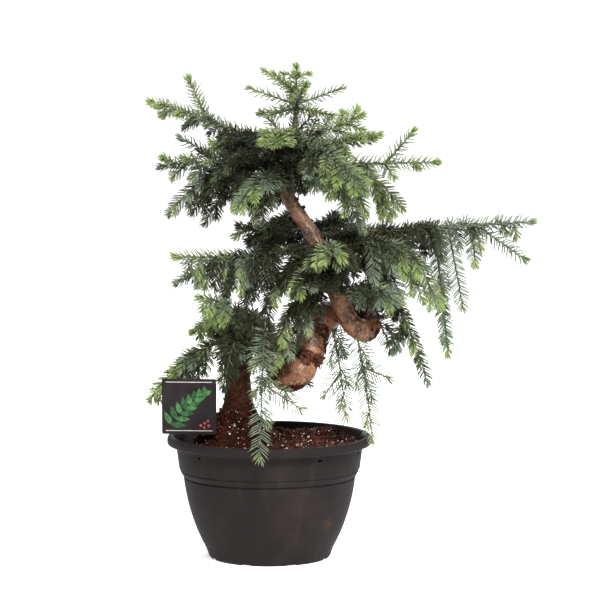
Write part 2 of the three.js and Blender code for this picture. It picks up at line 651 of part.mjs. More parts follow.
// One frond: a stem that meets the bough's tip or the trunk, with its side shoots fused on.
function frondMesh(frond, owner) {
  const line = lines[owner];
  const length = lineLength(line);
  const from = frond.bough ? boughEnd(frond) + GAP / length : 0;
  const path = (share) => line(from + share * (1 - from));
  const steps = Math.max(3, Math.round(lineLength(path) / STEM_STEP));
  const bareSteps = Math.floor(steps * (1 - frond.clad));
  const stem = spray(path, steps, boughRadius(frond), bareSteps, (point) => isFree(point, owner));
  const shoots = [...forkShoots(line, frond.forks), ...sideShoots(frond, owner, Math.max(from, 0.14))];
  const fused = fuseShoots(stem, path, shoots, owner);
  return meshOf(`frond_${frond.name}`, frond.bough ? fused : fused.subtract(trunkSeat), FOLIAGE);
}

// Leader: the upright tip above the wood, with whorls of side shoots that shorten upwards.
function leader() {
  const owner = FRONDS.length;
  const stem = spray(leaderLine, 3, 2, 1, (point) => isFree(point, owner));
  const fused = fuseShoots(stem, leaderLine, forkShoots(leaderLine, leaderForks), owner);
  return meshOf("frond_leader", fused, FOLIAGE);
}

const bonsai = new THREE.Group();
bonsai.add(pot(), soil(), meshOf("label", labelSolid(0), CARD));
TRUNK_PIECES.forEach(([name, from, to]) => {
  bonsai.add(meshOf(name, trunkLength(from, to, 0, GAP / 2), BARK));
});
FRONDS.forEach((frond, owner) => {
  if (frond.bough) bonsai.add(bough(frond, owner));
  bonsai.add(frondMesh(frond, owner));
});
bonsai.add(leader());

export default bonsai;
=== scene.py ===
import math
from collections import namedtuple

import bmesh
import bpy
import numpy as np
from mathutils import Matrix, Vector, noise


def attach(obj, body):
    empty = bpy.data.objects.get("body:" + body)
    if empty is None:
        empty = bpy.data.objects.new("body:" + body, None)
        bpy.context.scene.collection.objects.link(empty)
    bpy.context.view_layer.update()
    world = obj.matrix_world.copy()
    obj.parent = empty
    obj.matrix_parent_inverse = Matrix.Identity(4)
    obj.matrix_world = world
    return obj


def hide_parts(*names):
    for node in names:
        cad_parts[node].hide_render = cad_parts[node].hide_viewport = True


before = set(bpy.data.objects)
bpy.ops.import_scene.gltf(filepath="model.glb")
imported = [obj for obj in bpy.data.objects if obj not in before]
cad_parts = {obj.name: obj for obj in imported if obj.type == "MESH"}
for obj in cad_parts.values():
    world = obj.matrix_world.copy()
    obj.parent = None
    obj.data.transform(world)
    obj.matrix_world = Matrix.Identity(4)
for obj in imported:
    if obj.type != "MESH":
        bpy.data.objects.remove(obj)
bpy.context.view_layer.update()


# Pot: a round bowl of dark grey plastic, moulded in one shell with a stepped band and a rolled lip.
# It stands on a flat foot with drain notches in its edge, and small slots under the lip take hangers.
MM = 0.001
WALL = 2.2
POT_FLOOR = 3
FOOT_RADIUS = 68.5
BAND_TOP_RADIUS = 104.3
BOWL = [(71.6, 11), (91, 46), (96.6, 90)]  # low end, pull and high end of the bowl's curve
EDGE_ROUNDING = 0.45
DRAIN_NOTCHES = (8, 22.5, FOOT_RADIUS, 0, (12, 14, 5))  # count, first bearing, radius, height and size
HANGER_SLOTS = (9, 172.7, BAND_TOP_RADIUS, 121.5, (5, 12, 2.4))
POT_GREY = (0.0125, 0.0100, 0.0102, 1)
POT_DUST = (0.052, 0.042, 0.039, 1)
POT_RUST = (0.085, 0.030, 0.012, 1)
RUST_SCALE = (166.0, 50.0, 100.0)  # one over the half sizes of a rusty smear on the bowl, in metres
RUST_SHIFT = (-10.8, 2.9, -4.6)  # what brings the smear's middle to 0 once it is scaled


class Signal:
    """A socket of one finish's nodes. Sums on it add Math nodes to that finish."""

    def __init__(self, tree, socket=None):
        self.tree = tree
        self.socket = socket

    def node(self, kind, settings, inputs, output=0):
        """A new node of the finish. Each input is a value or another signal."""
        made = self.tree.nodes.new(kind)
        for name, value in settings.items():
            setattr(made, name, value)
        for name, value in inputs.items():
            if isinstance(value, Signal):
                self.tree.links.new(value.socket, made.inputs[name])
            else:
                made.inputs[name].default_value = value
        return Signal(self.tree, made.outputs[output] if made.outputs else None)

    def math(self, operation, first, second):
        return self.node("ShaderNodeMath", {"operation": operation}, {0: first, 1: second})

    def __add__(self, other):
        return self.math("ADD", self, other)

    __radd__ = __add__

    def __sub__(self, other):
        return self.math("SUBTRACT", self, other)

    def __rsub__(self, other):
        return self.math("SUBTRACT", other, self)

    def __mul__(self, other):
        return self.math("MULTIPLY", self, other)

    __rmul__ = __mul__

    def stretched(self, scale, shift=(0, 0, 0)):
        """These coordinates, scaled along each axis and then shifted."""
        return self.node("ShaderNodeMapping", {}, {"Vector": self, "Location": shift, "Scale": scale})

    def clouds(self, scale, detail=3.0, roughness=0.5):
        """Soft noise from 0 to 1 at these coordinates."""
        return self.node("ShaderNodeTexNoise", {}, {
            "Vector": self, "Scale": scale, "Detail": detail, "Roughness": roughness}, "Fac")

    def between(self, low, high):
        """0 below low, 1 above high, and a smooth rise between them."""
        return self.node("ShaderNodeMapRange", {"interpolation_type": "SMOOTHSTEP"}, {
            "Value": self, "From Min": low, "From Max": high})

    def tint(self, first, second):
        """The first colour where this is 0 and the second where it is 1."""
        return self.node("ShaderNodeMix", {"data_type": "RGBA"}, {0: self, 6: first, 7: second}, 2)


def new_finish(name):
    """A bare material and the Object coordinates that its nodes start from."""
    material = bpy.data.materials.new(name)
    material.use_nodes = True
    material.node_tree.nodes.clear()
    place = Signal(material.node_tree).node("ShaderNodeTexCoord", {}, {}, "Object")
    return material, place


def relief(height, strength, depth):
    """The bump of a height, with its strength and its depth in metres."""
    return height.node("ShaderNodeBump", {}, {
        "Height": height, "Strength": strength, "Distance": depth}, "Normal")


def close_finish(place, inputs):
    """Ends a finish's nodes in one shader with these inputs."""
    shader = place.node("ShaderNodeBsdfPrincipled", {}, inputs, "BSDF")
    place.node("ShaderNodeOutputMaterial", {}, {"Surface": shader})


def add_piece(name, mesh, material, nodes):
    """Puts a mesh in the scene as one piece that stands for the nodes."""
    piece = bpy.data.objects.new(name, mesh)
    bpy.context.scene.collection.objects.link(piece)
    mesh.materials.append(material)
    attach(piece, "root")
    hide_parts(*nodes)


def spun(profile, steps):
    """A closed body turned about the vertical, from radii and heights in millimetres."""
    body = bmesh.new()
    line = [body.verts.new((radius * MM, 0, height * MM)) for radius, height in profile]
    edges = [body.edges.new(pair) for pair in zip(line, line[1:])]
    bmesh.ops.spin(body, geom=line + edges, cent=(0, 0, 0), axis=(0, 0, 1), angle=2 * math.pi,
                   steps=steps, use_merge=True)
    bmesh.ops.remove_doubles(body, verts=body.verts, dist=1e-6)
    bmesh.ops.recalc_face_normals(body, faces=body.faces)
    return body


def mesh_of(name, body):
    """A body's mesh; the body is used up."""
    mesh = bpy.data.meshes.new(name)
    body.to_mesh(mesh)
    body.free()
    return mesh


def bowl_curve(inset, steps):
    """Radii and heights along the bowl's curve, set in by an inset."""
    points = []
    for k in range(steps + 1):
        t = k / steps
        weights = ((1 - t) ** 2, 2 * t * (1 - t), t * t)
        radius = sum(w * r for w, (r, z) in zip(weights, BOWL))
        height = sum(w * z for w, (r, z) in zip(weights, BOWL))
        points.append((radius - inset, height))
    return points


def cut_mesh(body, boxes):
    """The body's mesh with the boxes taken out of it."""
    holders = []
    for shape in (body, boxes):
        holder = bpy.data.objects.new("blank", mesh_of("blank", shape))
        bpy.context.scene.collection.objects.link(holder)
        holders.append(holder)
    cut = holders[0].modifiers.new("cut", "BOOLEAN")
    cut.object = holders[1]
    cut.operation = "DIFFERENCE"
    cut.solver = "EXACT"
    made = holders[0].evaluated_get(bpy.context.evaluated_depsgraph_get())
    mesh = bpy.data.meshes.new_from_object(made)
    for holder in holders:
        bpy.data.objects.remove(holder)
    return mesh


foot = [(0, 0), (FOOT_RADIUS - 2, 0), (FOOT_RADIUS, 2)]
step = [(96.7, 90.6), (95.5, 91.3), (95.7, 92.4), (97.6, 93.0), (100.6, 98.4),
        (100.0, 99.2), (100.1, 100.3), (101.7, 101), (BAND_TOP_RADIUS, 121), (104.7, 126.6)]
lip = [(112.2, 127.5), (114.2, 128.5), (115, 130.3), (115, 134.4), (114.3, 136.6),
       (112.4, 137.8), (110.4, 138), (108.2, 137.5), (106.9, 136), (106.3, 133.8)]
inside = [(102.1, 121), (99.4, 100.6)] + bowl_curve(WALL, 8)[::-1]
inside += [(FOOT_RADIUS - 6, POT_FLOOR), (0, POT_FLOOR)]
pot_body = spun(foot + bowl_curve(0, 22) + step + lip + inside, 144)
sharp = [edge for edge in pot_body.edges if edge.calc_face_angle(0) > math.radians(24)]
bmesh.ops.bevel(pot_body, geom=sharp, offset=EDGE_ROUNDING * MM, offset_type="OFFSET", segments=2,
                profile=0.5, affect="EDGES", clamp_overlap=True, material=-1)

pot_cuts = bmesh.new()
for count, first, radius, height, size in (DRAIN_NOTCHES, HANGER_SLOTS):
    for k in range(count):
        turn = Matrix.Rotation(math.radians(first + 360 / count * k), 4, "Z")
        middle = Matrix.Translation(Vector((0, radius, height)) * MM)
        stretch = Matrix.Diagonal((*(side * MM for side in size), 1))
        bmesh.ops.create_cube(pot_cuts, size=1, matrix=turn @ middle @ stretch)
pot_mesh = cut_mesh(pot_body, pot_cuts)
pot_mesh.shade_smooth()
pot_mesh.set_sharp_from_angle(angle=math.radians(32))

pot_plastic, place = new_finish("pot_plastic")
grain = place.clouds(1500.0, 2.0)
clouds = place.clouds(14.0, 5.0)
drawn = place.stretched((70.0, 70.0, 5.0))
streaks = drawn.clouds(1.0, 4.0).between(0.52, 0.78)
dust = clouds.between(0.45, 0.8) * 0.22 + streaks * 0.16 + grain * 0.10
smear_at = place.stretched(RUST_SCALE, RUST_SHIFT)
smear_out = smear_at.node("ShaderNodeVectorMath", {"operation": "LENGTH"}, {0: smear_at}, "Value")
smear = (1 - smear_out.between(0.3, 1.1)) * place.clouds(260.0, 4.0).between(0.42, 0.62) * 0.7
close_finish(place, {
    "Base Color": smear.tint(dust.tint(POT_GREY, POT_DUST), POT_RUST),
    "Roughness": 0.54 + clouds * 0.12 + grain * 0.08,
    "Specular IOR Level": 0.055,
    "Normal": relief(grain + clouds * 0.4, 0.22, 0.0003)})
add_piece("pot", pot_mesh, pot_plastic, ["pot"])


# Soil: moist peat that fills the pot, heaped round the trunk's foot, with a rough crumbled top.
# Bark chips, crumbs and white perlite lie loose on it, and some of them cling to the foot of the trunk.
SOIL_RADIUS = 103.2
SOIL_TOP = 129
SOIL_FLOOR = 112
BANKS = [(62, 48, 30, 34, 9), (-2, 60, 30, 30, 6)]  # low banks at the back: place, reaches and height
FOOT_AT = (-36, 5)  # the middle of the trunk's foot, its radius, and the width and height of its flare
FOOT_GIRTH = 14.2
FLARE = 12
FLARE_HEIGHT = 15
HEAP_TOP = 167  # the heap round the foot, its fall for each millimetre out and the most it reaches
HEAP_FALL = 1.1
HEAP_LIMIT = 170
PEAT_DARK = (0.008, 0.0026, 0.0017, 1)
PEAT_LIGHT = (0.042, 0.0125, 0.0066, 1)
OPEN_SOIL = 0.84  # the share of loose bits on the open soil; the others lie on the heap or cling to the foot


def waver(spot, size):
    """A smooth random height from -1 to 1, with lumps of about the size."""
    return noise.noise(Vector(spot) / size)


def soil_level(x, y):
    """The soil's height in millimetres before its crumbs."""
    level = SOIL_TOP - 3 * max(0, math.hypot(x, y) - 52) / 50
    for at_x, at_y, reach_x, reach_y, height in BANKS:
        level += height * math.exp(-((x - at_x) / reach_x) ** 2 - ((y - at_y) / reach_y) ** 2)
    away = math.hypot(x - FOOT_AT[0], y - FOOT_AT[1]) - FOOT_GIRTH
    heap = HEAP_TOP - HEAP_FALL * away + 5 * waver((x, y, 0), 12)
    collar = (7 + 12 * waver((x, y, 5), 9)) * math.exp(-away / 3)
    return max(level, min(HEAP_LIMIT, heap + min(9, collar)))


ring_count = 84
top = [(SOIL_RADIUS * k / ring_count, SOIL_TOP) for k in range(ring_count + 1)]
soil_body = spun(top + [(SOIL_RADIUS - 3, SOIL_FLOOR), (0, SOIL_FLOOR)], 200)
for v in soil_body.verts:
    if v.co.z > (SOIL_FLOOR + 1) * MM:
        x, y = v.co.x / MM, v.co.y / MM
        crumbs = 2.2 * waver((x, y, 3), 7) + 1.2 * waver((x, y, 9), 2.7)
        v.co.z = (soil_level(x, y) + crumbs) * MM
soil_mesh = mesh_of("soil", soil_body)
soil_mesh.shade_smooth()

peat, place = new_finish("peat")
lumps = place.clouds(240.0, 6.0, 0.65)
fibres = place.clouds(900.0, 4.0, 0.7)
close_finish(place, {
    "Base Color": (lumps * 0.6 + fibres * 0.4).between(0.36, 0.66).tint(PEAT_DARK, PEAT_LIGHT),
    "Roughness": 0.72 + 0.2 * fibres,
    "Specular IOR Level": 0.04,
    "Normal": relief(lumps + fibres * 0.6, 0.8, 0.0016)})
add_piece("soil", soil_mesh, peat, ["soil"])


def mesh_from_arrays(name, points, *face_groups):
    """A mesh from points in millimetres and arrays of faces, each array with its own number of corners."""
    mesh = bpy.data.meshes.new(name)
    mesh.vertices.add(len(points))
    mesh.vertices.foreach_set("co", (points * MM).astype(np.float32).ravel())
    corners = np.concatenate([faces.ravel() for faces in face_groups])
    sides = np.concatenate([np.full(len(faces), faces.shape[1]) for faces in face_groups])
    mesh.loops.add(len(corners))
    mesh.loops.foreach_set("vertex_index", corners.astype(np.int32))
    mesh.polygons.add(len(sides))
    mesh.polygons.foreach_set("loop_start", (np.cumsum(sides) - sides).astype(np.int32))
    mesh.polygons.foreach_set("loop_total", sides.astype(np.int32))
    mesh.update(calc_edges=True)
    mesh.validate()
    return mesh


def joined_copies(name, shape, places, turns, sizes, chance, jitter):
    """One mesh of many small copies of a shape, each turned, sized and knocked a little out of true."""
    shape_points, shape_faces = shape
    points = np.array(shape_points, float)[None] * np.array(sizes, float)[:, None, :]
    points *= 1 + jitter * (chance.random(points.shape) - 0.5)
    points = np.einsum("nij,nkj->nki", turns, points) + np.array(places, float)[:, None, :]
    count, corners = points.shape[0], points.shape[1]
    faces = np.array(shape_faces)[None] + corners * np.arange(count)[:, None, None]
    return mesh_from_arrays(name, points.reshape(-1, 3), faces.reshape(-1, faces.shape[-1]))


def unit(vectors):
    """The same directions with length 1."""
    return vectors / np.linalg.norm(vectors, axis=-1, keepdims=True)


def any_turns(chance, count):
    """Turning matrices with no direction favoured."""
    a, b, c, d = unit(chance.normal(size=(count, 4))).T
    rows = [[1 - 2 * (c * c + d * d), 2 * (b * c - a * d), 2 * (b * d + a * c)],
            [2 * (b * c + a * d), 1 - 2 * (b * b + d * d), 2 * (c * d - a * b)],
            [2 * (b * d - a * c), 2 * (c * d + a * b), 1 - 2 * (b * b + c * c)]]
    return np.moveaxis(np.array(rows), 2, 0)


# The corners and faces of a square chip and of a crumb with eight sides.
CHIP = ([(x, y, z) for x in (-1, 1) for y in (-1, 1) for z in (-1, 1)],
        [(0, 1, 3, 2), (4, 6, 7, 5), (0, 4, 5, 1), (2, 3, 7, 6), (0, 2, 6, 4), (1, 5, 7, 3)])
CRUMB = ([(1, 0, 0), (-1, 0, 0), (0, 1, 0), (0, -1, 0), (0, 0, 1), (0, 0, -1)],
         [(0, 2, 4), (2, 1, 4), (1, 3, 4), (3, 0, 4), (2, 0, 5), (1, 2, 5), (3, 1, 5), (0, 3, 5)])


def on_soil(chance, count, lift):
    """Places on the soil, its heap and the trunk's foot, with the share of its size a bit has there."""
    spots = []
    shares = []
    for _ in range(count):
        bearing = 2 * math.pi * chance.random()
        if chance.random() < OPEN_SOIL:
            out = 100 * math.sqrt(chance.random())
            x, y = out * math.cos(bearing), out * math.sin(bearing)
            spots.append((x, y, soil_level(x, y) + lift))
            shares.append(1)
        else:
            out = FOOT_GIRTH + 24 * chance.random()
            x, y = FOOT_AT[0] + out * math.cos(bearing), FOOT_AT[1] + out * math.sin(bearing)
            clung = min(26, -9 * math.log(1 - chance.random())) if out < FOOT_GIRTH + 2 else 0
            spots.append((x, y, soil_level(x, y) + lift + clung))
            shares.append(0.8 if clung == 0 else 0.45)
    return spots, np.array(shares)


def scatter(name, finish, seed, count, lift, span, shape, jitter, flatness):
    """Loose bits of one kind on the soil, most of them near the small end of their span."""
    chance = np.random.default_rng(seed)
    low, high = span
    sizes = low + (high - low) * chance.random((count, 1)) ** 2.2
    sizes = sizes * (0.55 + 0.9 * chance.random((count, 3))) * np.array([1, 1, flatness])
    spots, shares = on_soil(chance, count, lift)
    turns = any_turns(chance, count)
    mesh = joined_copies(name, shape, spots, turns, sizes * shares[:, None], chance, jitter)
    add_piece(name, mesh, finish, ["soil"])


def chip_finish(name, dark, light, rough):
    """Matt crumbled stuff that varies from bit to bit and within each one."""
    finish, place = new_finish(name)
    tone = place.clouds(70.0, 3.0) * 0.7 + place.clouds(1400.0, 3.0) * 0.3
    close_finish(place, {
        "Base Color": tone.between(0.34, 0.64).tint(dark, light),
        "Roughness": rough + 0.15 * tone,
        "Specular IOR Level": 0.06,
        "Normal": relief(place.clouds(2200.0, 3.0), 0.4, 0.0003)})
    return finish


crumb_peat = chip_finish("crumb_peat", (0.007, 0.0023, 0.0014, 1), (0.042, 0.0118, 0.0058, 1), 0.8)
scatter("soil_crumbs", crumb_peat, 11, 7600, 0.6, (0.6, 2.0), CRUMB, 0.7, 0.8)
chip_bark = chip_finish("chip_bark", (0.011, 0.0034, 0.0019, 1), (0.076, 0.0215, 0.0100, 1), 0.6)
scatter("bark_chips", chip_bark, 12, 2600, 0.8, (0.6, 2.9), CHIP, 0.6, 0.35)
perlite_white = chip_finish("perlite_white", (0.46, 0.38, 0.31, 1), (0.80, 0.74, 0.66, 1), 0.8)
scatter("perlite", perlite_white, 13, 620, 1.4, (0.5, 1.5), CRUMB, 0.5, 0.9)


# Label: a plastic card on a pointed spike, pressed into the soil in front of the trunk.
# It is printed with a leafy sprig in two greens and a few berries on a dark ground, between two fine lines.
LABEL_AT = (-89, -32)
LABEL_TURN = -4
LABEL_THICKNESS = 0.9
CARD_HALF = 30.5
CARD_LOW = 143
CARD_TOP = 205
CARD_ROUNDING = 2
SPIKE_HALF = 5
SPIKE_SHOULDER = 118
SPIKE_END = 104
CARD_DARK = (0.011, 0.0075, 0.0085, 1)
CARD_LIGHT = (0.018, 0.013, 0.014, 1)
label_middle = Matrix.Translation((LABEL_AT[0] * MM, LABEL_AT[1] * MM, 0))
label_pose = label_middle @ Matrix.Rotation(math.radians(LABEL_TURN), 4, "Z")


def flat_plate(outline, front, thickness, rounded=(), radius=0.0):
    """A plate in the label's plane, from its outline, with the named corners rounded."""
    plate = bmesh.new()
    corners = [plate.verts.new((x * MM, front * MM, z * MM)) for x, z in outline]
    plate.faces.new(corners)
    if rounded:
        bmesh.ops.bevel(plate, geom=[corners[k] for k in rounded], offset=radius * MM, segments=4,
                        offset_type="OFFSET", profile=0.5, affect="VERTICES", material=-1)
    grown = bmesh.ops.extrude_face_region(plate, geom=plate.faces[:])
    moved = [v for v in grown["geom"] if isinstance(v, bmesh.types.BMVert)]
    bmesh.ops.translate(plate, verts=moved, vec=(0, thickness * MM, 0))
    bmesh.ops.recalc_face_normals(plate, faces=plate.faces)
    bmesh.ops.transform(plate, matrix=label_pose, verts=plate.verts)
    return plate


def joined_mesh(name, shapes):
    """One mesh of several bodies."""
    whole = bmesh.new()
    for shape in shapes:
        holder = mesh_of("blank", shape)
        whole.from_mesh(holder)
        bpy.data.meshes.remove(holder)
    return mesh_of(name, whole)


def leaf_outline(x, z, bearing, length, width):
    """A pointed leaf from its stalk's foot, in the label's plane."""
    along = (math.cos(math.radians(bearing)), math.sin(math.radians(bearing)))
    edge = []
    for k in range(9):
        t = k / 8
        edge.append((t, width / 2 * math.sin(math.pi * t ** 0.8) * (1 - 0.3 * t)))
    loop = edge + [(t, -half) for t, half in edge[-2:0:-1]]
    return [(x + along[0] * t * length - along[1] * half, z + along[1] * t * length + along[0] * half)
            for t, half in loop]


def berry_outline(x, z):
    turns = np.linspace(0, 2 * math.pi, 13)[:-1]
    return [(x + 1.5 * math.cos(turn), z + 1.5 * math.sin(turn)) for turn in turns]


card_outline = [(-CARD_HALF, CARD_LOW), (-SPIKE_HALF, CARD_LOW), (-SPIKE_HALF, SPIKE_SHOULDER),
                (0, SPIKE_END), (SPIKE_HALF, SPIKE_SHOULDER), (SPIKE_HALF, CARD_LOW),
                (CARD_HALF, CARD_LOW), (CARD_HALF, CARD_TOP), (-CARD_HALF, CARD_TOP)]
card = flat_plate(card_outline, -LABEL_THICKNESS / 2, LABEL_THICKNESS, (0, 6, 7, 8), CARD_ROUNDING)
card_finish, place = new_finish("label_card")
weave = place.clouds(1800.0, 2.0)
close_finish(place, {
    "Base Color": place.clouds(60.0, 3.0).between(0.35, 0.7).tint(CARD_DARK, CARD_LIGHT),
    "Roughness": 0.46 + 0.12 * weave,
    "Specular IOR Level": 0.12,
    "Normal": relief(weave, 0.1, 0.0002)})
add_piece("label_card", joined_mesh("label_card", [card]), card_finish, ["label"])

sprig = [(-20 + 5.2 * k, 154 + 6.4 * k - 0.22 * k * k) for k in range(8)]  # a rising stalk across the card
left_leaves = [leaf_outline(x, z, 118 - 5 * k, 17 - 1.1 * k, 7.2) for k, (x, z) in enumerate(sprig)]
right_leaves = [leaf_outline(x, z, -6 + 4 * k, 17 - 1.1 * k, 7.2) for k, (x, z) in enumerate(sprig)]
berries = [berry_outline(x, z) for x, z in ((13, 153), (17.5, 155.5), (17, 150.5), (22, 152.5), (21, 158))]
fine_lines = [[(-26, z), (26, z), (26, z + 0.7), (-26, z + 0.7)] for z in (146.6, 201)]
PRINTS = [  # name, outlines, thickness of the ink, its darker and its lighter colour
    ("label_leaves", left_leaves[::2] + right_leaves[1::2], 0.1,
     (0.022, 0.075, 0.022, 1), (0.060, 0.160, 0.055, 1)),
    ("label_leaves_dark", left_leaves[1::2] + right_leaves[::2], 0.06,
     (0.012, 0.045, 0.016, 1), (0.032, 0.098, 0.034, 1)),
    ("label_berries", berries, 0.1, (0.22, 0.035, 0.040, 1), (0.34, 0.075, 0.080, 1)),
    ("label_lines", fine_lines, 0.1, (0.42, 0.42, 0.38, 1), (0.55, 0.55, 0.50, 1)),
]
for name, outlines, raised, dark, light in PRINTS:
    ink, place = new_finish(name + "_ink")
    close_finish(place, {
        "Base Color": place.clouds(260.0, 4.0).between(0.35, 0.65).tint(dark, light),
        "Roughness": 0.46 + 0.1 * place.clouds(900.0, 2.0),
        "Specular IOR Level": 0.12})
    prints = [flat_plate(outline, -LABEL_THICKNESS / 2 - raised, raised) for outline in outlines]
    add_piece(name, joined_mesh(name, prints), ink, ["label"])


# Trunk: one living stem, trained into two loops while it was young, with red-brown papery bark.
# It swells into root lobes at the soil, carries pits and stubs of cut twigs, and is ragged on the loops.
STATIONS = [  # the middle line's places and radii
    (-36, 5, 140, 14.5),
    (-36, 5, 172, 13.5),
    (-35, 4, 203, 14),
    (-35, 4, 222, 14.5),
    (-30, 6, 239, 14.5),
    (-18, 9, 245, 14.5),
    (-5, 10, 241, 15),
    (8.5, -2, 235, 15.5),
    (10, -6.5, 212.5, 15.6),
    (19.5, -20.5, 205.5, 15.8),
    (33, -28.5, 212, 15.8),
    (46.5, -20, 226, 16.2),
    (44.5, -7, 240.5, 16.8),
    (55, 4, 262, 16.5),
    (68, 13, 272, 15.5),
    (80, 20, 277, 14.5),
    (94, 22, 274, 14),
    (107, 16, 268, 13.3),
    (113, 3, 262, 12.6),
    (109, -12, 256, 12),
    (99, -21, 257, 11.7),
    (89, -23, 269, 11.1),
    (79, -20, 288, 10.7),
    (66, -12, 327, 9.6),
    (47, -3, 369, 8.7),
    (14, 4, 408, 7.6),
    (20, 6, 441, 5.6),
    (27, 5, 475, 3.4),
    (30, 4, 500, 2.2),
]
RAGGED = [  # torn places and their reach
    (24, -32, 189, 16), (34, -37, 193, 13), (54, -27, 224, 11), (65, -10, 239, 12), (60, -14, 257, 9),
    (41, -33, 229, 8), (33, -27, 234, 8), (113, 0, 260, 17), (107, 14, 268, 15), (95, 21, 275, 13),
    (112, -13, 253, 11),
]
BURL_STATION = 9.5  # a knob on the low bend, its height, its reach along the trunk and the way it faces
BURL_HEIGHT = 3.6
BURL_REACH = 15
BURL_WAY = np.array([-0.1, -0.62, -0.78])
FOLD = (1.5, 0.34, 3.6)  # a fold past the knob: its place and width in the knob's reaches, and its depth
ROOT_LOBES = 5
LOBE_SHARE = 0.16  # how far the lobes stand out at the soil, as a share of the radius
FOOT_SWELLING = (24, 18, 3.4)  # a swelling over the lobes: its height, reach and size
PIT_RIM = 0.7
PIT_DEPTH = 1.9
PITS = [  # station, the way it faces and size
    (22.3, (0.1, -1, 0.1), 1.5), (22.08, (-0.3, -1, 0.1), 1.8), (21.02, (-0.2, -1, -0.1), 1.7),
    (11.78, (0.2, -1, 0.1), 1.4), (12.6, (-0.5, -1, 0.2), 1.2), (23.5, (0.2, -1, 0.2), 1.2),
]
STUBS = [  # station, the way it points, radius and length
    (24.78, (0.9, -0.4, -0.3), 2.0, 3.5), (24.5, (0.9, -0.3, 0.4), 1.9, 4.5),
    (24.55, (-0.9, -0.3, -0.5), 1.2, 3.5), (11.15, (1, -0.5, -0.4), 1.6, 3.5),
    (24.2, (0.2, 1, 0.3), 1.8, 4), (22.6, (-0.4, 1, 0.1), 1.8, 4), (21.6, (0.7, 0.8, 0), 1.6, 3.5),
    (3.2, (-0.2, 1, 0.1), 2.2, 4), (14.2, (0.3, 1, 0.3), 2.2, 4),
]


def trunk_at(station):
    """The trunk's middle line: a smooth line that follows the stations and rounds each turn off."""
    last = len(STATIONS) - 1
    i = min(int(station), last - 1)
    w = station - i
    near = [np.array(STATIONS[max(0, min(last, k))][:3], float) for k in (i - 1, i, i + 1, i + 2)]
    if i == 0:
        near[0] = 2 * near[1] - near[2]
    if i == last - 1:
        near[3] = 2 * near[2] - near[1]
    weights = ((1 - w) ** 3, 3 * w ** 3 - 6 * w ** 2 + 4, -3 * w ** 3 + 3 * w ** 2 + 3 * w + 1, w ** 3)
    return sum(weight * at for weight, at in zip(weights, near)) / 6


def trunk_radius(station):
    """The trunk's radius at a station, with the flare of its roots at the soil."""
    i = min(int(station), len(STATIONS) - 2)
    plain = STATIONS[i][3] + (STATIONS[i + 1][3] - STATIONS[i][3]) * (station - i)
    height = trunk_at(station)[2] - STATIONS[0][2]
    return plain + FLARE * math.exp(-height / FLARE_HEIGHT) if station < 2 else plain


def carried_frames(points):
    """Two cross directions at each point of a line that turn no more than the line does."""
    ways = unit(np.gradient(points, axis=0))
    sides = []
    side = np.array([0.3, 1, 0.1])
    for way in ways:
        side = unit(side - way * (side @ way))
        sides.append(side)
    sides = np.array(sides)
    return ways, sides, np.cross(sides, ways)


def swept(along, around, place, girth, pitch):
    """A closed limb: place(ring, angle) gives each point of its skin in millimetres.

    Its attribute unrolled is the same limb made straight, for what runs round or along its bark.
    Girth and pitch are that straight limb's radius and the gap between its rings."""
    limb = bmesh.new()
    unrolled = limb.verts.layers.float_vector.new("unrolled")
    bmesh.ops.create_grid(limb, x_segments=along, y_segments=around, size=1)
    for v in limb.verts:
        ring = round((v.co.x + 1) / 2 * along)
        angle = math.pi * (v.co.y + 1)
        v[unrolled] = Vector((girth * math.cos(angle), girth * math.sin(angle), pitch * ring)) * MM
        v.co = Vector(place(ring, angle)) * MM
    bmesh.ops.remove_doubles(limb, verts=limb.verts, dist=1e-6)
    bmesh.ops.holes_fill(limb, edges=[edge for edge in limb.edges if edge.is_boundary], sides=0)
    bmesh.ops.recalc_face_normals(limb, faces=limb.faces)
    return limb


def bark_relief(skin, raggedness):
    """How far the bark stands out, in millimetres: soft swellings, and torn edges where it is ragged."""
    swell = waver(skin, 17) + 0.4 * waver(skin, 6)
    torn = abs(waver(skin, 5.5)) + 0.6 * abs(waver(skin, 2.4))
    return swell * (1 + raggedness) + raggedness * (3.4 * torn - 1.0)


def raggedness_at(skin):
    """How torn the bark is at a place, from 0 to 1."""
    return min(1.0, sum(1.7 * max(0.0, 1 - math.dist(skin, spot[:3]) / spot[3]) for spot in RAGGED))


trunk_rings = 460
trunk_sides = 72
trunk_girth = 12
walk = np.linspace(0, len(STATIONS) - 1, 3000)
walked = np.array([trunk_at(station) for station in walk])
lengths = np.concatenate([[0], np.cumsum(np.linalg.norm(np.diff(walked, axis=0), axis=1))])
lengths_at = np.linspace(0, lengths[-1], trunk_rings + 1)
burl_length = np.interp(BURL_STATION, walk, lengths)
ring_stations = np.interp(lengths_at, lengths, walk)
ring_places = np.array([trunk_at(station) for station in ring_stations])
ring_radii = np.array([trunk_radius(station) for station in ring_stations])
trunk_ways, trunk_flanks, trunk_overs = carried_frames(ring_places)


def on_trunk(station, way):
    """A point of the trunk's skin at a station, on the side that faces a way, and the way out of it."""
    k = int(np.argmin(abs(ring_stations - station)))
    out = np.array(way, float)
    out = unit(out - trunk_ways[k] * (out @ trunk_ways[k]))
    return ring_places[k] + out * ring_radii[k], out


pit_spots = [(*on_trunk(station, way), size) for station, way, size in PITS]


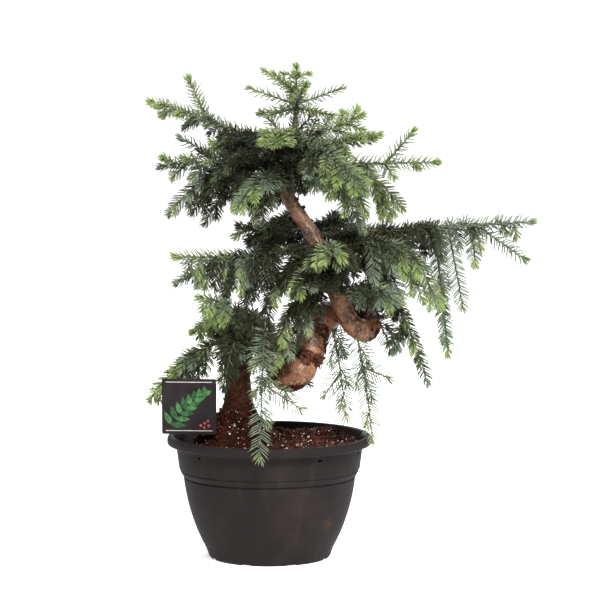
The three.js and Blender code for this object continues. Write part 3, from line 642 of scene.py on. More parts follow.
def trunk_skin(ring, angle):
    """A point of the bark: the round stem with its knob, fold, lobes, swellings, rings and pits."""
    out = trunk_flanks[ring] * math.cos(angle) + trunk_overs[ring] * math.sin(angle)
    station, radius = ring_stations[ring], ring_radii[ring]
    past_burl = (lengths_at[ring] - burl_length) / BURL_REACH
    radius += BURL_HEIGHT * (0.3 + 0.7 * max(0.0, out @ BURL_WAY)) * math.exp(-past_burl ** 2)
    at, width, depth = FOLD
    radius -= depth * math.exp(-((past_burl - at) / width) ** 2)
    if station < 2:
        height = ring_places[ring][2] - STATIONS[0][2]
        lobes = math.cos(ROOT_LOBES * angle)
        radius *= 1 + LOBE_SHARE * math.exp(-height / FLARE_HEIGHT) * lobes
        at, reach, size = FOOT_SWELLING
        radius += size * math.exp(-((height - at) / reach) ** 2) * (0.7 + 0.3 * lobes)
    skin = ring_places[ring] + out * radius
    gnarl = 0.45 - 0.1 * station if station < 3 else 0.16 if station < 20 else 0.1
    stand = bark_relief(skin, min(1.0, raggedness_at(skin) + gnarl))
    stand += 0.18 * math.sin(lengths_at[ring] * 1.9 + 4 * waver(skin, 9))
    for spot, _, size in pit_spots:
        gap = np.linalg.norm(skin - spot) / size
        if gap < 2.2:
            stand += PIT_RIM * math.exp(-((gap - 1.25) / 0.4) ** 2) - PIT_DEPTH * math.exp(-(gap / 0.7) ** 2)
    slim = min(1.0, radius / 9)
    return ring_places[ring] + out * (radius + slim * stand)


trunk_body = swept(trunk_rings, trunk_sides, trunk_skin, trunk_girth, lengths_at[1])
torn_layer = trunk_body.verts.layers.float.new("torn")
for v in trunk_body.verts:
    v[torn_layer] = raggedness_at(v.co / MM)
trunk_mesh = mesh_of("trunk", trunk_body)
trunk_mesh.shade_smooth()

bark, place = new_finish("trunk_bark")
height = place.node("ShaderNodeSeparateXYZ", {}, {"Vector": place}, "Z")
unrolled = place.node("ShaderNodeAttribute", {"attribute_name": "unrolled"}, {}, "Vector")
torn = place.node("ShaderNodeAttribute", {"attribute_name": "torn"}, {}, "Fac")
patches = place.clouds(42.0, 4.0, 0.55)
crust = place.clouds(330.0, 5.0, 0.7)
wrinkles = unrolled.stretched((80, 80, 760)).clouds(1.0, 3.0, 0.55)
peel = unrolled.stretched((70, 70, 150)).clouds(1.0, 6.0, 0.62)
edge = peel - 0.56
split = 1 - (edge * edge).between(0.0, 0.0006)
tone = patches * 0.55 + peel * 0.28 + wrinkles * 0.17
old_bark = tone.between(0.38, 0.63).tint((0.020, 0.0065, 0.0034, 1), (0.315, 0.130, 0.057, 1))
young_bark = tone.between(0.41, 0.64).tint((0.028, 0.011, 0.006, 1), (0.205, 0.100, 0.052, 1))
green_bark = tone.between(0.38, 0.62).tint((0.040, 0.038, 0.016, 1), (0.100, 0.105, 0.045, 1))
# The foot and the lower trunk up to the arch are darker: partly the foot's own dark bark, partly painted
# shade under the crown.
foot_bark_and_shade = crust.between(0.36, 0.66).tint((0.008, 0.0030, 0.0018, 1), (0.070, 0.022, 0.0100, 1))
torn_bark = crust.between(0.36, 0.66).tint((0.008, 0.0032, 0.0022, 1), (0.078, 0.028, 0.015, 1))
top_bark = height.between(0.438, 0.468).tint(young_bark, green_bark)
upper = height.between(0.262, 0.300).tint(old_bark, top_bark)
from_foot = unrolled.node("ShaderNodeSeparateXYZ", {}, {"Vector": unrolled}, "Z")
whole = (from_foot + 0.03 * patches).between(0.055, 0.130).tint(foot_bark_and_shade, upper)
sound = (torn + 0.5 * crust).between(0.40, 0.70).tint(whole, torn_bark)
specks = place.clouds(250.0, 4.0, 0.6).between(0.60, 0.68) * 0.7
marks = specks.math("MAXIMUM", specks, split * 0.32)
above_foot = from_foot.between(0.10, 0.16)
# Light flecks above the foot: partly needle scars, partly painted glints of highlight.
scar_and_glint_flecks = place.clouds(330.0, 4.0, 0.65).between(0.53, 0.62) * above_foot * 0.5
flecked = scar_and_glint_flecks.tint(sound, (0.340, 0.205, 0.140, 1))
ridges = peel * 0.5 + wrinkles * 0.4 + crust * (0.35 + torn) - split * 0.2
close_finish(place, {
    "Base Color": marks.tint(flecked, (0.018, 0.007, 0.0045, 1)),
    "Roughness": 0.66 + 0.2 * (peel + torn - 1.3 * from_foot.between(0.08, 0.14)),
    "Specular IOR Level": 0.1,
    "Coat Weight": 0.45 * above_foot * (1 - torn),
    "Coat Roughness": 0.4,
    "Normal": relief(ridges, 0.65, 0.0009)})


def nodes_of(group):
    """The solids whose names start with a group's name."""
    return [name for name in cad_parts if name.startswith(group)]


trunk_nodes = nodes_of("trunk_")
add_piece("trunk", trunk_mesh, bark, trunk_nodes)

stubs = []
for station, way, radius, length in STUBS:
    foot_spot, out = on_trunk(station, way)
    stub = bmesh.new()
    turn = Vector(out).to_track_quat("Z", "Y").to_matrix().to_4x4()
    middle = Matrix.Translation(Vector(foot_spot + out * (length / 2 - 1.2)) * MM)
    bmesh.ops.create_cone(stub, cap_ends=True, segments=10, radius1=radius * 1.25 * MM,
                          radius2=radius * MM, depth=length * MM, matrix=middle @ turn)
    bmesh.ops.subdivide_edges(stub, edges=stub.edges, cuts=1)
    for v in stub.verts:
        v.co += 0.5 * MM * Vector(noise.noise_vector(v.co / (2.2 * MM)))
    bmesh.ops.recalc_face_normals(stub, faces=stub.faces)
    stubs.append(stub)
dead_wood, place = new_finish("dead_wood")
cracks = place.clouds(800.0, 5.0, 0.65)
close_finish(place, {
    "Base Color": cracks.between(0.36, 0.66).tint((0.008, 0.005, 0.004, 1), (0.050, 0.026, 0.017, 1)),
    "Roughness": 0.70 + 0.2 * cracks,
    "Normal": relief(cracks, 0.7, 0.0006)})
add_piece("twig_stubs", joined_mesh("twig_stubs", stubs), dead_wood, trunk_nodes)

chance = np.random.default_rng(21)
flake_count = 420
flake_places = []
flake_turns = []
while len(flake_places) < flake_count:
    *torn_place, reach = RAGGED[int(chance.integers(len(RAGGED)))]
    torn_place = np.array(torn_place)
    way = unit(chance.normal(size=3))
    k = int(np.argmin(np.linalg.norm(ring_places - torn_place - way * 6, axis=1)))
    out = torn_place + way * reach * 0.8 - ring_places[k]
    out = unit(out - trunk_ways[k] * (out @ trunk_ways[k]))
    skin = ring_places[k] + out * (ring_radii[k] + 0.9)
    if np.linalg.norm(skin - torn_place) < reach + 3:
        side = np.cross(out, trunk_ways[k])
        lean = 0.5 * chance.normal(size=3)
        first = unit(side + 0.4 * lean[0] * out)
        third = unit(np.cross(first, trunk_ways[k] + lean[1] * side))
        flake_places.append(skin)
        flake_turns.append(np.array([first, np.cross(third, first), third]).T)
flake_sizes = (0.6 + 2.4 * chance.random((flake_count, 1)) ** 2) * np.array([1, 0.8, 0.2])
flakes = joined_copies("bark_flakes", CHIP, flake_places, np.array(flake_turns), flake_sizes, chance, 0.9)
flake_bark = chip_finish("flake_bark", (0.010, 0.0040, 0.0028, 1), (0.095, 0.036, 0.018, 1), 0.6)
add_piece("bark_flakes", flakes, flake_bark, trunk_nodes)


# Boughs: tapering limbs of dark wood that grow out of the trunk and carry the larger fronds.
# Their bark is finely ringed by the scars of old needles, and short old needles still stand on it.
BOUGH_RING = 1.6  # from one ring of a bough's skin to the next
BOUGH_FOOT = 1.35  # a bough's radius at the trunk, as a share of the one at its end
# Each frond starts at a station of the trunk or at another frond's bough, and runs out along a bearing.
# Reach, rise and arch give its line; shoots, spread, weep and roll its side shoots; bough its bough's length.
# A fork has its share of that line, its bearing, its pitch and its length.
Frond = namedtuple("Frond", [
    "name", "on", "bearing", "reach", "rise", "arch", "shoots", "spread", "weep", "roll", "bough", "forks"],
    defaults=[()])
FRONDS = [Frond(*row) for row in (
    ("crown_left_high", 26.35, -176, 153, 58, 4, 9, 42, 0.4, 15, 20, [(0.6, 180, 66, 48)]),
    ("crown_left_mid", 25.9, -168, 141, 3, 6, 9, 46, 0.15, 40, 18, [(0.5, 178, 28, 57)]),
    ("crown_left_low", 25.45, 178, 130, -36, 30, 9, 46, 0.6, 30, 18,
     [(0.6, -168, -59, 49), (0.42, 180, -60, 70), (0.27, -170, -66, 50)]),
    ("crown_front_left", 25.6, -130, 84, -32, 16, 7, 38, 0.5, 15, 0, [(0.4, -100, -66, 60)]),
    ("crown_front_high", 26.7, -102, 92, 4, 8, 7, 36, 0.1, 0, 0, [(0.26, 165, 46, 40)]),
    ("crown_front_right", 26.1, -46, 120, -28, 22, 8, 44, 0.3, 20, 0),
    ("crown_right_drop", 25.65, -30, 98, -58, 34, 7, 42, 0.6, 20, 0),
    ("crown_right_high", 26.9, 18, 81, 24, -4, 7, 34, 0.1, 50, 0),
    ("crown_right_mid", 26.5, -17, 101, 17, -2, 8, 38, 0.1, 15, 0),
    ("crown_right_long", 25.95, 4, 167, 4, 0, 3, 28, 0.4, 20, 40, [(0.66, 0, 49, 46)]),
    ("crown_right_back", 25.5, 24, 146, -36, 34, 8, 50, 0.8, 20, 24,
     [(0.56, 0, -74, 58), (0.76, 8, -70, 48)]),
    ("crown_back_left", 26.2, 132, 124, 6, 8, 9, 46, 0.2, 20, 20),
    ("crown_back", 26.6, 88, 112, -4, 12, 9, 44, 0.2, 0, 0, [(0.3, 20, 46, 34)]),
    ("crown_back_right", 25.8, 58, 116, -6, 12, 8, 44, 0.3, -20, 0),
    ("crown_back_low", 25.2, 112, 104, -34, 22, 8, 42, 0.5, 0, 0),
    ("mid_left_long", 23.6, -174, 158, -12, -5, 8, 60, 0.85, 20, 26,
     [(0.65, -172, -27, 60), (0.58, -170, -72, 54), (0.42, -140, -71, 70), (0.32, -100, -73, 79)]),
    ("mid_left_short", 24.1, -153, 83, 3, -6, 8, 36, 0.3, 40, 0),
    ("mid_front_high", 23.3, -84, 86, 13, 6, 8, 46, 0.6, 0, 0),
    ("mid_front_low", 22.7, -122, 76, -12, 16, 7, 40, 0.5, 10, 0),
    ("mid_left_drop", 23.15, -165, 64, -40, 20, 7, 44, 0.7, 0, 0, [(0.35, -150, 14, 40)]),
    ("mid_front_drop", 22.4, -147, 80, -58, 22, 7, 40, 0.6, 0, 0,
     [(0.55, -115, -70, 56), (0.8, -130, -72, 48)]),
    ("mid_right_long", 23.85, 2, 244, 15, 0, 4, 40, 0.75, 45, 126,
     [(0.75, 0, -35, 66), (0.62, -15, -79, 92), (0.73, 0, -85, 44)]),
    ("mid_right_low", 23.25, -14, 116, -8, 22, 8, 56, 0.8, 10, 24,
     [(0.75, -11, -65, 61), (0.92, -5, -64, 58), (0.5, -14, -62, 66)]),
    ("mid_right_drop", 22.7, 20, 116, -122, 60, 7, 42, 0.8, 20, 30, [(0.78, 180, -48, 29)]),
    ("mid_front_right", 22.15, -34, 74, -2, 12, 8, 40, 0.4, 10, 0),
    ("mid_back_left", 23.95, 124, 116, -46, 30, 9, 56, 0.8, 0, 0),
    ("mid_back", 23.45, 80, 96, 34, 4, 8, 44, 0.3, 0, 0),
    ("mid_back_right", 23.05, 52, 130, 26, 18, 9, 50, 0.5, 0, 24),
    ("low_left_long", 4.8, -176, 114, -66, 22, 8, 40, 0.6, 30, 20),
    ("low_left_high", 6, -154, 79, 54, 12, 8, 44, 0.75, 20, 0),
    ("low_left_back", 5.5, 164, 77, 9, 20, 8, 42, 0.75, 0, 0),
    ("low_front", 4.1, -108, 70, -40, 26, 6, 32, 0.5, 0, 0),
    ("low_weeper", 6.2, -93, 132, -110, 58, 5, 36, 0.6, 0, 0, [(0.72, -10, -32, 50)]),
    ("low_back", 5, 96, 96, 0, 24, 8, 44, 0.5, 0, 0),
    ("drop_front", 13.8, -69, 56, -107, 20, 4, 30, 0.7, 0, 0, [(0.7, -163, -53, 29)]),
    ("drop_rim", 20.5, -64, 46, -121, 16, 4, 28, 0.7, 0, 0, [(0.5, -10, -21, 30)]),
    ("drop_elbow", 17.9, -17, 26, -30, 14, 3, 18, 0.8, 0, 0),
    ("drop_back", 16, 78, 74, -22, 26, 8, 42, 0.7, 0, 0),
    ("right_weeper", "mid_right_long", -18, 16, -138, 0, 3, 34, 0.9, 0, 0, [(0.07, 174, -46, 52)]),
)]
UP = np.array([0.0, 0.0, 1.0])


def heading_of(bearing, pitch):
    """The direction of a bearing and a pitch in degrees."""
    b, p = math.radians(bearing), math.radians(pitch)
    return np.array([math.cos(b) * math.cos(p), math.sin(b) * math.cos(p), math.sin(p)])


def bough_radius(frond):
    """A bough's radius where its frond begins."""
    return 1.4 + 0.006 * frond.reach


def frond_line(frond):
    """A frond's middle line by its share from 0 to 1."""
    if isinstance(frond.on, str):
        carrier = next(other for other in FRONDS if other.name == frond.on)
        root = frond_line(carrier)(bough_end(carrier)) - UP * (bough_radius(carrier) + 0.3)
    else:
        root = trunk_at(frond.on)
    span = heading_of(frond.bearing, 0) * frond.reach + UP * frond.rise
    return lambda s: root + span * s + UP * (4 * frond.arch * s * (1 - s))


def bough_end(frond):
    """The share of a frond's line where its bough ends."""
    if not frond.bough:
        return 0
    line = frond_line(frond)
    length = frond.bough + trunk_radius(frond.on)
    walked_so_far, share = 0, 0
    while walked_so_far < length and share < 1:
        walked_so_far += np.linalg.norm(line(share + 0.01) - line(share))
        share += 0.01
    return share


def bough_body(frond, line, end):
    """A bough's limb from inside the trunk to its end, ringed by the scars of old needles."""
    rings = int(frond.bough / BOUGH_RING)
    places = np.array([line(end * k / rings) for k in range(rings + 1)])
    _, sides, overs = carried_frames(places)
    size = bough_radius(frond)

    def bough_skin(ring, angle):
        out = sides[ring] * math.cos(angle) + overs[ring] * math.sin(angle)
        radius = size * (BOUGH_FOOT + (1 - BOUGH_FOOT) * ring / rings)
        skin = places[ring] + out * radius
        scars = 0.22 * math.sin(2.6 * ring + 2 * waver(skin, 4))
        return skin + out * (scars + 0.5 * waver(skin, 3))

    return swept(rings, 14, bough_skin, size, BOUGH_RING)


lines = [frond_line(frond) for frond in FRONDS]
bough_ends = [bough_end(frond) for frond in FRONDS]
boughs = [bough_body(*row) for row in zip(FRONDS, lines, bough_ends) if row[0].bough]
bough_mesh = joined_mesh("boughs", boughs)
bough_mesh.shade_smooth()

bough_bark, place = new_finish("bough_bark")
scars = place.clouds(520.0, 5.0, 0.6)
close_finish(place, {
    "Base Color": scars.between(0.36, 0.66).tint((0.016, 0.012, 0.007, 1), (0.085, 0.052, 0.028, 1)),
    "Roughness": 0.62 + 0.2 * scars,
    "Normal": relief(scars, 0.6, 0.0007)})
add_piece("boughs", bough_mesh, bough_bark, nodes_of("bough_"))


# Twigs: each frond's stem with its side shoots, and finer shoots on those, in dull green young bark.
# They branch by the same seeded rule as the solids, and a shoot ends where it would meet wood, pot or label.
OVERLAP = 30  # how far a frond's shoots may reach into the next frond's space
LEADER_HEIGHT = 50
LEADER_WHORLS = [  # height, length, pitch, and how much shorter the shoots to the right are
    (4, 51, -8, 0), (8, 55, 19, 0), (21, 34, 28, 0.6), (39, 14, 12, 0),
]
OPEN_FRONDS = ("crown_right_long", "mid_right_long", "right_weeper", "drop_front", "drop_rim", "drop_elbow",
               "low_weeper")  # they keep gaps between their side shoots
THIN_FRONDS = ("crown_right_high", "crown_right_mid")  # they have hardly any finer shoots
SHOOT_ROOM = (141, 118, 33.5, 6, 208)  # room kept for pot and label, as clear_of reads it
SHOOT_STEPS = 12
SHORTEST = 11
LONG_BOUGH = 100
INNER_SHOOTS = [  # first and last station, count, seed and share along the frond
    (25.1, 26.9, 46, 7, 0.1), (22.5, 23.4, 26, 8, 0.1), (6.4, 8.7, 30, 9, 0.4), (15.2, 17.4, 14, 10, 0.1),
]
TWIG_SIDES = 5
TWIG_END = 0.5  # a twig's radius at its tip
TWIG_DARK = (0.030, 0.035, 0.015, 1)
TWIG_LIGHT = (0.072, 0.082, 0.035, 1)
Shoot = namedtuple("Shoot", "points thick owner rank share")  # owner: its frond; share: its place on it


class Seeded:
    """Numbers from 0 to 1, the same on every run and the same as the solids have."""

    def __init__(self, seed):
        self.state = seed

    def draw(self):
        self.state = (1664525 * self.state + 1013904223) % 4294967296
        return self.state / 4294967296


leader_root = trunk_at(len(STATIONS) - 1) + UP * 0.3
leader_forks = []
for tier, (level, length, pitch, lean) in enumerate(LEADER_WHORLS):
    for bearing in range(53 + 45 * tier, 413 + 45 * tier, 90):
        shortened = length * (1 - lean * heading_of(bearing, 0)[0])
        leader_forks.append((level / LEADER_HEIGHT, bearing, pitch, shortened))
lines.append(lambda s: leader_root + UP * LEADER_HEIGHT * s)
axis_points = []
axis_owners = []
for owner, line in enumerate(lines):
    forks = FRONDS[owner].forks if owner < len(FRONDS) else leader_forks
    spots = [line(k / 40) for k in range(41)]
    for share, bearing, pitch, length in forks:
        spots += [line(share) + heading_of(bearing, pitch) * length * k / 14 for k in range(15)]
    axis_points += spots
    axis_owners += [owner] * len(spots)
axis_points = np.array(axis_points)
axis_owners = np.array(axis_owners)


def wood_clearance(points):
    """How far each point is from the trunk's bark, in millimetres."""
    gaps = np.linalg.norm(points[:, None] - ring_places[None, ::2], axis=2) - ring_radii[None, ::2]
    return gaps.min(axis=1)


def clear_of(points, room):
    """Which points are outside the room of the pot and the label."""
    rim_height, rim_radius, half_width, half_depth, label_top = room
    x, y, z = points.T
    in_pot = (z < rim_height) & (np.hypot(x, y) < rim_radius)
    in_label = (abs(x - LABEL_AT[0]) < half_width) & (abs(y - LABEL_AT[1]) < half_depth) & (z < label_top)
    return ~(in_pot | in_label)


def in_the_open(points, owner):
    """Which points are clear of trunk, pot and label, and in or near this frond's own space."""
    is_clear = (wood_clearance(points) > 2) & clear_of(points, SHOOT_ROOM)
    gaps = np.linalg.norm(points[:, None] - axis_points[None], axis=2)
    own = gaps[:, axis_owners == owner].min(axis=1)
    other = gaps[:, axis_owners != owner].min(axis=1)
    return is_clear & (own < other + OVERLAP)


def shoot_points(root, way, length, weep):
    """A shoot's line: it sets off along a heading and bends down by its weep, keeping its length."""
    points = [np.array(root)]
    for k in range(SHOOT_STEPS):
        turn = weep * min(1, (k + 1) / (0.6 * SHOOT_STEPS))
        step = way * (1 - turn) - UP * turn
        points.append(points[-1] + unit(step) * length / SHOOT_STEPS)
    return np.array(points)


def cut_short(points, owner, shortest):
    """The part of a shoot up to where it would leave the open space, or none."""
    is_open = in_the_open(points, owner)
    kept = 4
    while kept < len(points) and is_open[kept]:
        kept += 1
    points = points[:kept]
    length = np.linalg.norm(np.diff(points, axis=0), axis=1).sum()
    return points if length > shortest else None


def new_shoot(root, way, length, weep, thick, owner, rank, share, shortest=SHORTEST):
    """A list with one shoot, or an empty one where there is no room for it."""
    points = cut_short(shoot_points(root, way, length, weep), owner, shortest)
    return [] if points is None else [Shoot(points, thick, owner, rank, share)]


def side_way(along, roll, angle, hand):
    """The heading of a shoot to one hand of its stem, in a plane rolled about the stem."""
    level = unit(np.cross(along, UP))
    lift = np.cross(level, along)
    level = level * math.cos(roll) - lift * math.sin(roll)
    return along * math.cos(angle) + level * (hand * math.sin(angle))


def forked(line, forks, owner, thick, shortest):
    """The straight shoots that fork from a line."""
    made = []
    for share, bearing, pitch, length in forks:
        way = heading_of(bearing, pitch)
        made += new_shoot(line(share), way, length, 0, thick, owner, 1, share, shortest)
    return made


def grow_leader():
    """The top's upright stem and its whorls of short shoots."""
    owner = len(FRONDS)
    stem = np.array([lines[owner](k / 20) for k in range(21)])
    whorls = forked(lines[owner], leader_forks, owner, 1.2, 6)
    return [Shoot(stem, 2.0, owner, 0, 1)] + [shoot._replace(share=0.9) for shoot in whorls]


def grow_frond(owner):
    """A frond's stem, its forks, its side shoots as the solids have them, and the finer ones between."""
    line, frond, start = lines[owner], FRONDS[owner], bough_ends[owner]
    stem = np.array([line(start + (1 - start) * k / 30) for k in range(31)])
    grown = [Shoot(stem, bough_radius(frond) if frond.bough else 1.6, owner, 0, 0.6)]
    grown += forked(line, frond.forks, owner, 1.4, 8)
    random = Seeded(101 * (owner + 1))
    first = max(start, 0.14)
    is_open_frond = frond.name in OPEN_FRONDS
    for fork in grown[1:]:
        if fork.points[-1][2] < fork.points[0][2] and not is_open_frond:
            grown += fine_shoots(fork.points, 46, owner, fork.share, random)
    fine = 5 if frond.name.startswith("crown") else frond.shoots
    if is_open_frond or frond.name in THIN_FRONDS:
        fine = 1
    for i in range(frond.shoots + fine):  # the solids' side shoots come first, by the same draws
        is_fine = i >= frond.shoots
        count = fine if is_fine else frond.shoots
        k = i - frond.shoots if is_fine else i
        share = (k + 0.4 + 0.4 * random.draw()) / count * (0.66 if is_fine else 1)
        s = first + (1 - first) * (0.04 + 0.86 * share)
        angle = math.radians(56 - 12 * share + 10 * (random.draw() - 0.5))
        roll = math.radians(frond.roll + (84 if is_fine else 40) * (random.draw() - 0.5))
        length = frond.spread * (1 - 0.6 * share) * (0.85 + 0.3 * random.draw()) * (0.84 if is_fine else 1)
        along = unit(line(min(1, s + 0.02)) - line(s - 0.02))
        way = side_way(along, roll, angle, 1 if i % 2 else -1)
        side_shoot = new_shoot(line(s), way, length, frond.weep, 0.85, owner, 1, s)
        grown += side_shoot
        if side_shoot and length > 32 and not is_open_frond and random.draw() < 0.4:
            grown += fine_shoots(side_shoot[0].points, length, owner, s, random)
    if frond.bough > LONG_BOUGH:
        grown += bough_shoots(owner, random)
    return grown


def fine_shoots(parent, length, owner, share, random):
    """Up to two finer shoots, one on each side of their parent."""
    frond = FRONDS[owner]
    made = []
    for k in range(2):
        at = 3 + 3 * k + int(2 * random.draw())
        if at + 1 >= len(parent):
            break
        along = unit(parent[at + 1] - parent[at])
        if abs(along[2]) > 0.97:
            continue
        roll = math.radians(frond.roll + 60 * (random.draw() - 0.5))
        way = side_way(along, roll, math.radians(48), 1 if k % 2 else -1)
        shortened = length * (0.58 - 0.12 * k)
        made += new_shoot(parent[at], way, shortened, frond.weep, 0.75, owner, 2, share)
    return made


def bough_shoots(owner, random):
    """Hanging shoots along a long bough, from the trunk to where its frond begins."""
    line, end = lines[owner], bough_ends[owner]
    count = int(FRONDS[owner].bough / 4)
    made = []
    for k in range(count):
        s = end * (0.12 + 0.9 * (k + random.draw()) / count)
        along = unit(line(s + 0.02) - line(s))
        roll = math.radians(70 * (random.draw() - 0.5))
        way = side_way(along, roll, math.radians(58), 1 if k % 2 else -1)
        length = 20 + 26 * random.draw()
        weep = 0.5 + 0.4 * random.draw()
        made += new_shoot(line(s), way, length, weep, 0.75, owner, 2, 0.35 * s / end)
    return made


def inner_shoots(first, last, count, seed, share):
    """Short old shoots on the trunk itself, between the fronds' stems."""
    made = []
    random = Seeded(seed)
    for k in range(count):
        station = first + (last - first) * (k + random.draw()) / count
        bearing = 137.5 * k + 60 * random.draw()
        root = trunk_at(station)
        way = heading_of(bearing, 50 * random.draw() - 18)
        length = trunk_radius(station) + 16 + 18 * random.draw()
        points = shoot_points(root, way, length, 0.35 * random.draw())
        owner = axis_owners[np.linalg.norm(axis_points - points[-1], axis=1).argmin()]
        outside = wood_clearance(points) > 0
        if outside[-1] and outside.sum() > 4 and in_the_open(points[-2:], owner).all():
            made.append(Shoot(points[np.argmax(outside) - 1:], 0.8, owner, 2, share))
    return made


shoots = [shoot for owner in range(len(FRONDS)) for shoot in grow_frond(owner)] + grow_leader()
for row in INNER_SHOOTS:
    shoots += inner_shoots(*row)


def twig_arrays(shoots):
    """Points and faces of slim twigs that taper to their tips, each closed at both ends."""
    points = []
    quads = []
    ends = []
    first = 0
    side = np.arange(TWIG_SIDES)
    next_side = (side + 1) % TWIG_SIDES
    angles = 2 * np.pi * side / TWIG_SIDES
    for shoot in shoots:
        ways, across, over = carried_frames(shoot.points)
        count = len(shoot.points)
        ring = across[:, None] * np.cos(angles)[:, None] + over[:, None] * np.sin(angles)[:, None]
        radii = shoot.thick + (TWIG_END - shoot.thick) * np.linspace(0, 1, count)
        skin = shoot.points[:, None] + ring * radii[:, None, None]
        points += [skin.reshape(-1, 3), shoot.points[-1:] + ways[-1:] * 0.8, shoot.points[:1]]
        rings = first + TWIG_SIDES * np.arange(count)[:, None]
        low, low_next = rings[:-1] + side, rings[:-1] + next_side
        walls = np.stack([low, low + TWIG_SIDES, low_next + TWIG_SIDES, low_next], axis=2)
        quads.append(walls.reshape(-1, 4))
        tip = first + TWIG_SIDES * count
        ends.append(np.stack([rings[-1] + side, np.full(TWIG_SIDES, tip), rings[-1] + next_side], axis=1))
        ends.append(np.stack([first + side, first + next_side, np.full(TWIG_SIDES, tip + 1)], axis=1))
        first = tip + 2
    return np.concatenate(points), np.concatenate(quads), np.concatenate(ends)


frond_nodes = nodes_of("frond_")
twig_mesh = mesh_from_arrays("twigs", *twig_arrays(shoots))
twig_mesh.shade_smooth()
twig_bark, place = new_finish("twig_bark")
scars = place.clouds(620.0, 4.0, 0.6)
far = place.clouds(16.0, 2.0)
close_finish(place, {
    "Base Color": (scars * 0.5 + far * 0.5).between(0.36, 0.64).tint(TWIG_DARK, TWIG_LIGHT),
    "Roughness": 0.58 + 0.2 * scars,
    "Normal": relief(scars, 0.5, 0.0004)})
add_piece("twigs", twig_mesh, twig_bark, frond_nodes)


# Needles: slim incurved awls in a spiral round each twig, or in rows where it hangs, with a bud at its tip.
# Their colour paints shade: dark inside the crown and on their undersides. On its face they are grey-green,
# and yellow-green at the ends of the shoots.
NEEDLE_TONES = [  # name, the darker and the lighter colour of its needles
    ("deep", (0.0125, 0.0135, 0.0060, 1), (0.040, 0.044, 0.021, 1)),
    ("shade", (0.040, 0.049, 0.026, 1), (0.102, 0.122, 0.070, 1)),
    ("grey", (0.090, 0.117, 0.074, 1), (0.200, 0.252, 0.172, 1)),
    ("green", (0.122, 0.150, 0.060, 1), (0.245, 0.292, 0.132, 1)),
    ("fresh", (0.138, 0.182, 0.062, 1), (0.265, 0.332, 0.130, 1)),
    ("tip", (0.140, 0.192, 0.056, 1), (0.262, 0.345, 0.116, 1)),
]
DEEP_SHADE, SHADE, GREY, TIP = 0, 1, 2, 5  # places of four of them in the list
TONE_LIMITS = (0.32, 0.46, 0.62, 0.84)  # the lightness up to which a spray is deep, shade, grey or green
LACE_FRONDS = ("drop_front", "drop_rim", "drop_elbow", "low_weeper")  # sparse sprays with long needles
SPRAY_LIGHT_AND_SHADE = [  # how light the sprays of a part of the crown are, and how much they differ; the darker parts are painted shade
    ("crown_left_low", 0.16, 1.3),
    ("crown_left", 0.27, 1.3),
    ("crown_front", 0.69, 1.3),
    ("crown_right_drop", 0.78, 1.3),
    ("crown_right_long", 0.50, 1.3),
    ("crown_right_back", 0.64, 1.3),
    ("crown_right", 0.72, 1.3),
    ("crown", 0.50, 1.3),
    ("mid_left", 0.28, 1.5),
    ("mid_front_right", 0.69, 2.0),
    ("mid_right_long", 0.22, 1.0),
    ("mid", 0.41, 2.0),
    ("low_weeper", 0.57, 0.3),
    ("low_front", 0.36, 1.0),
    ("low", 0.88, 2.0),
    ("drop_back", 0.50, 1.0),
    ("drop", 0.54, 0.3),
    ("leader", 0.76, 1.0),
    ("right", 0.50, 1.0),
]
Habit = namedtuple("Habit", "per_mm longest least bud widest bow")
HABITS = {  # needles a millimetre, longest, share of that at the tip, needles in the bud, opening and bow
    "strong": Habit(1.75, 12.8, 0.8, 12, 24, 0.15),
    "plain": Habit(1.2, 11.2, 0.66, 5, 24, 0.15),
    "hanging": Habit(1.1, 13.4, 0.66, 5, 18, 0.05),
    "lace": Habit(0.7, 16, 0.66, 5, 27, 0.05),
}
LEADER_HABIT = {"per_mm": 1.1, "longest": 10.2, "bud": 5}
OPEN_HABIT = {"per_mm": 1.25, "widest": 27}
GOLDEN_TURN = 2.39996  # from one needle of a spiral to the next, in radians
BEND = 0.64  # how far along a needle it bends
NEEDLE_GIRTHS = (0.6, 0.72)  # at the foot and at the bend
NEEDLE_ROOM = (139, 117, 32.5, 4, 207)
MOST_IN_PIECE = 19000  # needles


def frond_name(owner):
    return FRONDS[owner].name if owner < len(FRONDS) else "leader"


def tone_of(shoot, chance):
    """A spray's colour: the further out on its frond and from the trunk, the lighter, so the sprays near the
    trunk carry painted shade.
    """
    middle = shoot.points[len(shoot.points) // 2]
    away = float(wood_clearance(middle[None])[0])
    light = 0.55 * shoot.share + 0.45 * min(1, away / 130) + 0.36 * (chance.random() - 0.5)
    name = frond_name(shoot.owner)
    middling, contrast = next(row[1:] for row in SPRAY_LIGHT_AND_SHADE if name.startswith(row[0]))
    return int(np.searchsorted(TONE_LIMITS, middling + contrast * (light - 0.5), side="right"))


def kind_of(shoot, length):
    """How a shoot's needles grow, a name in HABITS."""
    if frond_name(shoot.owner) in LACE_FRONDS:
        return "lace"
    half_way = shoot.points[len(shoot.points) // 2]
    if shoot.points[-1][2] < half_way[2] - 0.31 * length:
        return "hanging"
    return "strong" if shoot.rank == 0 or shoot.share > 0.58 else "plain"


